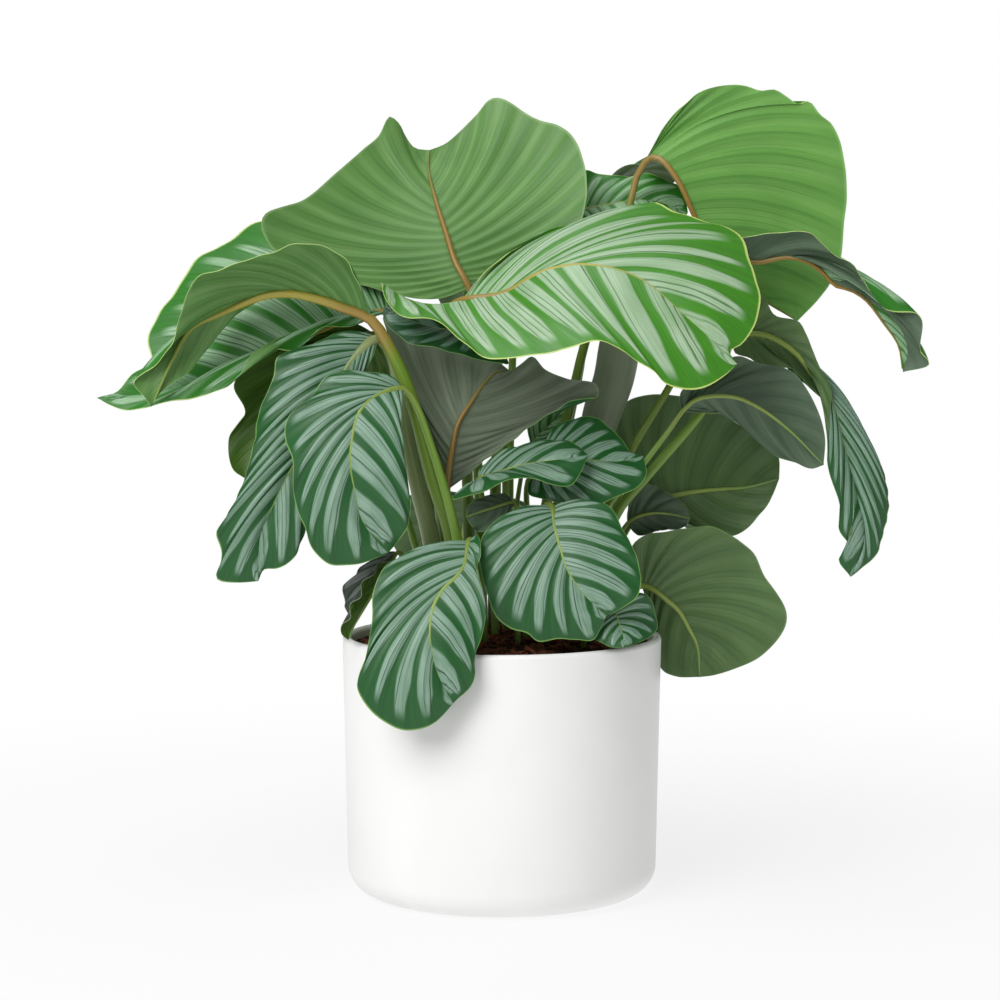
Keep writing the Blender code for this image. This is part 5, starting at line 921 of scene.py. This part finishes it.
        rib=[(-3.5, 12.5, 51.5), (-5.0, 15.0, 54.0), (-6.5, 18.5, 54.5), (-8.0, 21.5, 52.0)],
        width=7.0, face=(-0.1, 0.1, 1.0), mesh=(11, 3)),
    "leaf_far_low_right": dict(
        stem=[(5.4, 4.6, 17), (8.0, 8.0, 26), (10.0, 10.5, 31)],
        rib=[(11.0, 12.0, 32.5), (13.5, 15.0, 32.5), (15.5, 18.0, 30.0), (17.0, 20.0, 26.0)],
        width=6.0, face=(0.2, 0.1, 1.0), mesh=(10, 3), girth=0.32),
    "leaf_far_low": dict(
        stem=[(-0.4, 8.2, 17), (-1.0, 10.6, 25), (-1.5, 13.5, 29)],
        rib=[(-2.0, 15.5, 29.5), (-3.0, 18.5, 28.0), (-3.6, 21.0, 24.5), (-4.0, 22.5, 20.0)],
        width=6.5, face=(0.0, 0.4, 1.0), mesh=(10, 3), girth=0.32),
    "leaf_far_low_left": dict(
        stem=[(-4.6, 6.4, 17), (-7.0, 9.0, 26), (-9.0, 11.0, 32)],
        rib=[(-10.0, 12.5, 33.5), (-12.0, 15.0, 34.0), (-14.0, 17.5, 32.5), (-15.5, 19.5, 29.0)],
        width=5.5, face=(-0.2, 0.1, 1.0), mesh=(10, 3), girth=0.32),
    "leaf_rear_high": dict(
        stem=[(2.0, 7.6, 17), (3.8, 8.6, 30), (5.6, 9.4, 38), (6.8, 10.2, 43), (7.0, 11.2, 49)],
        rib=[(7.0, 12.0, 52.5), (9.0, 13.5, 55.8), (11.5, 15.5, 56.6), (14.0, 17.5, 55.5)],
        width=4.8, face=(0.0, 0.3, 1.0), mesh=(9, 3), girth=0.3),
}


# ---- Furled leaf -----------------------------------------------------------------
FURLED_AXIS = [(4.0, 2.4, 17.0), (5.6, 2.5, 26.0), (7.7, 2.5, 36.8), (8.8, 2.6, 40.2), (9.3, 2.6, 43.0),
               (10.4, 2.8, 47.9), (11.4, 3.0, 52.5)]
FURLED_RADII = ((0.0, 0.42), (0.4, 0.46), (0.48, 1.1), (0.56, 1.6), (0.73, 1.75), (0.85, 1.2), (0.93, 0.5),
                (1.0, 0.12))
FURLED_SIDES = 40
FURLED_RINGS = 60
WRAP_STEP = 0.1


def furled_material():
    """Young leaf: pale grey-green with faint lengthwise streaks."""
    material, tree, shader, turn, height = new_material("furled_leaf")
    place = spot(tree, calc(tree, "MULTIPLY", turn, 16.0), calc(tree, "MULTIPLY", height, 3.0), 0.0)
    grain = noise(tree, place, 1.0, 4.0, 0.6)
    shade = mix(tree, ease(tree, height, 0.25, 0.5), colour(96, 112, 62), colour(118, 130, 104))
    shade = mix(tree, ease(tree, grain, 0.35, 0.7, 0.0, 0.4), shade, colour(84, 100, 72))
    tree.links.new(shade, shader.inputs["Base Color"])
    shader.inputs["Roughness"].default_value = 0.5
    relief(tree, shader, grain, 0.25, 0.001)
    return material


def furled_piece():
    """A leaf still rolled: its outer wrap ends in a small step that winds round it."""
    shell = Shell()
    shares = np.linspace(0, 1, FURLED_RINGS + 1)
    places = resample(spline(FURLED_AXIS), shares)
    along = tangents(places)
    radii = np.interp(shares, *zip(*FURLED_RADII))
    radii = smooth(radii[:, None], 3)[:, 0]
    across = unit(np.cross(along, (0.0, 1.0, 0.0)))
    back = np.cross(along, across)
    turns = np.linspace(0, 1, FURLED_SIDES, endpoint=False)
    wind = (turns[None] + 0.3 + 0.6 * shares[:, None]) % 1.0
    wrap = np.clip((shares - 0.42) / 0.15, 0, 1)[:, None]
    reach = radii[:, None] * (1 - WRAP_STEP * wrap * wind)
    angle = 2 * math.pi * turns[None, :, None]
    rings = places[:, None] + reach[..., None] * (np.cos(angle) * across[:, None] + np.sin(angle) * back[:, None])
    numbers = shell.add_points(rings)
    foot, tip = shell.add_points([places[0], places[-1] + 0.2 * along[-1]])
    for i in range(FURLED_RINGS):
        for n in range(FURLED_SIDES):
            m = (n + 1) % FURLED_SIDES
            x0, x1 = n / FURLED_SIDES, (n + 1) / FURLED_SIDES
            corners = (numbers[i, n], numbers[i, m], numbers[i + 1, m], numbers[i + 1, n])
            y0, y1 = shares[i], shares[i + 1]
            shell.add_face(corners, ((x0, y0), (x1, y0), (x1, y1), (x0, y1)), 0)
    for n in range(FURLED_SIDES):
        m = (n + 1) % FURLED_SIDES
        shell.add_face((foot, numbers[0, m], numbers[0, n]), ((0, 0),) * 3, 0)
        shell.add_face((tip, numbers[-1, n], numbers[-1, m]), ((0, 1),) * 3, 0)
    return shell.make("furled_leaf", [furled_material()])


# ---- Pot and soil ----------------------------------------------------------------
POT_HEIGHT = 20.2
POT_RIM_RADIUS = 12.5
POT_BASE_RADIUS = 12.1
POT_WALL = 0.7
POT_FLOOR = 1.2
POT_FOOT_ROUND = 2.1
POT_SIDES = 160
SOIL_TOP = 19.3
SOIL_MOUND = 0.9
SOIL_SIDES = 120
SOIL_RINGS = 44
CHIP_COUNT = 520
CRUMB_COUNT = 900


def arc(centre, radius, start, stop, steps):
    """Points of a profile arc as (radius, height), angles in degrees."""
    angles = np.radians(np.linspace(start, stop, steps + 1))
    return [(centre[0] + radius * math.cos(a), centre[1] + radius * math.sin(a)) for a in angles]


def turned(shell, profile, sides, finish=0):
    """Turn a profile about the upright axis; it starts and ends on the axis."""
    angles = np.linspace(0, 2 * math.pi, sides, endpoint=False)
    rings = [[(r * math.cos(a), r * math.sin(a), z) for a in angles] for r, z in profile[1:-1]]
    numbers = shell.add_points(rings)
    low, high = shell.add_points([(0, 0, profile[0][1]), (0, 0, profile[-1][1])])
    blank = ((0, 0),) * 4
    for n in range(sides):
        m = (n + 1) % sides
        for i in range(len(rings) - 1):
            corners = (numbers[i, n], numbers[i, m], numbers[i + 1, m], numbers[i + 1, n])
            shell.add_face(corners, blank, finish)
        shell.add_face((low, numbers[0, m], numbers[0, n]), blank, finish)
        shell.add_face((high, numbers[-1, n], numbers[-1, m]), blank, finish)


def pot_piece():
    """White cylinder with a rounded foot and a rounded lip."""
    foot, lip = POT_FOOT_ROUND, POT_WALL / 2
    wall = POT_BASE_RADIUS + (POT_RIM_RADIUS - POT_BASE_RADIUS) * foot / POT_HEIGHT
    inner = POT_BASE_RADIUS - POT_WALL
    profile = [(0, 0), (POT_BASE_RADIUS - foot, 0)]
    profile += arc((wall - foot, foot), foot, -75, 0, 14)
    profile += arc((POT_RIM_RADIUS - lip, POT_HEIGHT - lip), lip, 0, 180, 12)
    profile += [(inner, POT_FLOOR + foot / 2), (inner - foot / 2, POT_FLOOR), (0, POT_FLOOR)]
    shell = Shell()
    turned(shell, profile, POT_SIDES)
    return shell.make("pot_wall", [pot_material()], 60)


def object_place(tree):
    return node(tree, "ShaderNodeTexCoord", {}).outputs["Object"]


def pot_material():
    """Satin white glaze with the faintest unevenness."""
    material, tree, shader, _, _ = new_material("white_ceramic")
    place = object_place(tree)
    cloud = noise(tree, place, 9.0, 3.0)
    shade = mix(tree, ease(tree, cloud, 0.3, 0.7), colour(238, 238, 236), colour(243, 243, 242))
    tree.links.new(shade, shader.inputs["Base Color"])
    tree.links.new(calc(tree, "MULTIPLY_ADD", cloud, 0.08, 0.36), shader.inputs["Roughness"])
    relief(tree, shader, noise(tree, place, 420.0, 2.0), 0.04, 0.0004)
    return material


def soil_height(x, y):
    """Height of the soil in centimetres: a low mound with lumps, at (x, y)."""
    reach = np.hypot(x, y) / POT_RIM_RADIUS
    lumps = np.sin(4.1 * x + 1.3) * np.sin(3.7 * y + 0.4) + np.sin(2.5 * x - 3.3 * y)
    crumbs = np.sin(11.3 * x + 2 * np.sin(7.1 * y)) * np.sin(12.9 * y + 2 * np.sin(6.3 * x))
    return SOIL_TOP + SOIL_MOUND * (1 - reach ** 2) + 0.06 * lumps + 0.05 * crumbs


def soil_material(name, dark, light, scale):
    """Rough earth or bark, mottled at the given scale."""
    material, tree, shader, _, _ = new_material(name)
    place = object_place(tree)
    cloud = noise(tree, place, scale, 5.0, 0.65)
    shade = mix(tree, ease(tree, cloud, 0.35, 0.68), colour(*dark), colour(*light))
    tree.links.new(shade, shader.inputs["Base Color"])
    shader.inputs["Roughness"].default_value = 0.9
    shader.inputs["Specular IOR Level"].default_value = 0.2
    relief(tree, shader, cloud, 0.8, 0.002)
    return material


def soil_piece():
    """Soil filling the pot, with a lumpy top."""
    shell = Shell()
    inner = POT_BASE_RADIUS - POT_WALL - 0.05
    edge = POT_RIM_RADIUS - POT_WALL - 0.07
    angles = np.linspace(0, 2 * math.pi, SOIL_SIDES, endpoint=False)
    rings = [[(r * math.cos(a), r * math.sin(a), z) for a in angles]
             for r, z in ((inner - 1.1, POT_FLOOR + 0.05), (inner, POT_FLOOR + 1.1))]
    for r in np.linspace(edge, 0, SOIL_RINGS, endpoint=False):
        x, y = r * np.cos(angles), r * np.sin(angles)
        rings.append(np.stack([x, y, soil_height(x, y)], axis=1))
    numbers = shell.add_points(rings)
    low, high = shell.add_points([(0, 0, POT_FLOOR + 0.05), (0, 0, float(soil_height(0.0, 0.0)))])
    blank = ((0, 0),) * 4
    for n in range(SOIL_SIDES):
        m = (n + 1) % SOIL_SIDES
        for i in range(len(rings) - 1):
            shell.add_face((numbers[i, n], numbers[i, m], numbers[i + 1, m], numbers[i + 1, n]), blank, 0)
        shell.add_face((low, numbers[0, m], numbers[0, n]), blank, 0)
        shell.add_face((high, numbers[-1, n], numbers[-1, m]), blank, 0)
    return shell.make("soil_fill", [soil_material("dark_soil", (26, 17, 11), (66, 44, 28), 260.0)])


def scatter(name, count, sizes, flatness, material, seed):
    """Irregular lumps strewn over the soil, half sunk in it."""
    draw = np.random.default_rng(seed)
    shell = Shell()
    box = np.array([(x, y, z) for z in (-1, 1) for y in (-1, 1) for x in (-1, 1)], float)
    sides = ((0, 2, 3, 1), (4, 5, 7, 6), (0, 1, 5, 4), (2, 6, 7, 3), (0, 4, 6, 2), (1, 3, 7, 5))
    blank = ((0, 0),) * 4
    for _ in range(count):
        size = draw.uniform(*sizes)
        reach = (POT_RIM_RADIUS - POT_WALL - 0.2 - size) * math.sqrt(draw.uniform())
        bearing = draw.uniform(0, 2 * math.pi)
        x, y = reach * math.cos(bearing), reach * math.sin(bearing)
        shape = box * (1, draw.uniform(0.45, 0.9), flatness * draw.uniform(0.6, 1.3)) * size / 2
        shape *= 1 + draw.uniform(-0.3, 0.3, shape.shape)
        turn, tilt, roll = draw.uniform(0, 2 * math.pi), draw.normal(0, 0.3), draw.normal(0, 0.3)
        c, s = math.cos(turn), math.sin(turn)
        spin = np.array([[c, -s, 0], [s, c, 0], [0, 0, 1]])
        lean = np.array([[1, 0, 0], [0, math.cos(tilt), -math.sin(tilt)], [0, math.sin(tilt), math.cos(tilt)]])
        bank = np.array([[math.cos(roll), 0, math.sin(roll)], [0, 1, 0], [-math.sin(roll), 0, math.cos(roll)]])
        centre = np.array([x, y, float(soil_height(x, y)) + 0.2 * flatness * size])
        numbers = shell.add_points(shape @ (spin @ lean @ bank).T + centre)
        for side in sides:
            shell.add_face([numbers[k] for k in side], blank, 0)
    piece = shell.make(name, [material], 30)
    rounding = piece.modifiers.new("rounding", "BEVEL")
    rounding.width = sizes[0] * 0.1 * CM
    rounding.segments = 1
    return piece


# ---- Build -----------------------------------------------------------------------
upper_group, under_group, stalk_group = make_upper_group(), make_under_group(), make_stalk_group()

for number, (name, leaf) in enumerate(LEAVES.items()):
    upper, under, body = LEAF_TONES.get(name, DEFAULT_TONES)
    finishes = [shared(upper_material, upper, number % 5), shared(under_material, under, number % 5),
                shared(stalk_material, body)]
    piece = leaf_piece(name.replace("leaf_", "blade_"), leaf, finishes)
    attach(piece, "root")
    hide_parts(name)

furled = furled_piece()
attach(furled, "root")
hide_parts("leaf_furled")

pot = pot_piece()
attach(pot, "root")
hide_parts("pot")

soil = soil_piece()
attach(soil, "root")
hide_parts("soil")
chips = scatter("bark_chips", CHIP_COUNT, (0.5, 1.3), 0.35,
                soil_material("bark", (52, 26, 16), (122, 70, 44), 160.0), 3)
crumbs = scatter("soil_crumbs", CRUMB_COUNT, (0.15, 0.45), 0.7,
                 soil_material("crumbs", (22, 14, 9), (58, 38, 26), 300.0), 4)
for piece in (chips, crumbs):
    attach(piece, "root")


# ---- Floor, lights, camera -------------------------------------------------------
def area_light(name, place, aim, size, power):
    """A soft square light at place, turned to face aim."""
    data = bpy.data.lights.new(name, "AREA")
    data.size = size
    data.energy = power
    light = bpy.data.objects.new(name, data)
    bpy.context.scene.collection.objects.link(light)
    light.location = place
    to_aim = np.array(aim) - np.array(place)
    light.rotation_euler = (math.acos(-to_aim[2] / np.linalg.norm(to_aim)), 0,
                            math.atan2(to_aim[0], -to_aim[1]) + math.pi)
    return light


def studio_floor():
    """Wide white floor that fades into the backdrop beyond the pot's soft shadow."""
    mesh = bpy.data.meshes.new("floor")
    reach = 40.0
    corners = [(-reach, -reach, 0), (reach, -reach, 0), (reach, reach, 0), (-reach, reach, 0)]
    mesh.from_pydata(corners, [], [(0, 1, 2, 3)])
    floor = bpy.data.objects.new("floor", mesh)
    floor.location.z = FLOOR_LEVEL
    bpy.context.scene.collection.objects.link(floor)
    material = bpy.data.materials.new("floor_white")
    material.use_nodes = True
    tree = material.node_tree
    matt = node(tree, "ShaderNodeBsdfDiffuse", {"Color": (0.82, 0.82, 0.82, 1)})
    glow = node(tree, "ShaderNodeEmission", {"Color": (1, 1, 1, 1), "Strength": 1.0})
    away = node(tree, "ShaderNodeVectorMath", {0: object_place(tree)}, operation="LENGTH").outputs["Value"]
    share = ease(tree, away, 0.12, 1.1, FLOOR_GLOW, 1.0)
    both = node(tree, "ShaderNodeMixShader", {0: share, 1: matt.outputs[0], 2: glow.outputs[0]})
    tree.links.new(both.outputs[0], tree.nodes["Material Output"].inputs["Surface"])
    mesh.materials.append(material)


def studio_world():
    """White surround: dimmer as a light than as a backdrop."""
    world = bpy.data.worlds.new("studio")
    world.use_nodes = True
    tree = world.node_tree
    surround = tree.nodes["Background"]
    surround.inputs["Color"].default_value = (1, 1, 1, 1)
    surround.inputs["Strength"].default_value = SURROUND_LIGHT
    seen = node(tree, "ShaderNodeBackground", {"Color": (1, 1, 1, 1), "Strength": 1.0})
    path = node(tree, "ShaderNodeLightPath", {})
    both = node(tree, "ShaderNodeMixShader", {0: path.outputs["Is Camera Ray"], 1: surround.outputs[0],
                                              2: seen.outputs[0]})
    tree.links.new(both.outputs[0], tree.nodes["World Output"].inputs["Surface"])
    bpy.context.scene.world = world
    bpy.context.scene.view_settings.view_transform = "Standard"


FLOOR_LEVEL = -0.0004
FLOOR_GLOW = 0.8
SURROUND_LIGHT = 0.3
studio_floor()
studio_world()
area_light("key_light", (-1.3, -2.0, 1.9), (0, 0, 0.3), 1.7, 58)
area_light("top_light", (-0.2, -0.2, 2.6), (0, 0, 0.3), 1.6, 22)

camera_data = bpy.data.cameras.new("camera")
camera_data.lens = 96.87
camera_data.clip_end = 100
camera = bpy.data.objects.new("camera", camera_data)
camera.location = (-0.0015, -2.1, 0.4768)
camera.rotation_euler = (math.radians(90 - 4.61), 0, 0)
bpy.context.scene.collection.objects.link(camera)
bpy.context.scene.camera = camera
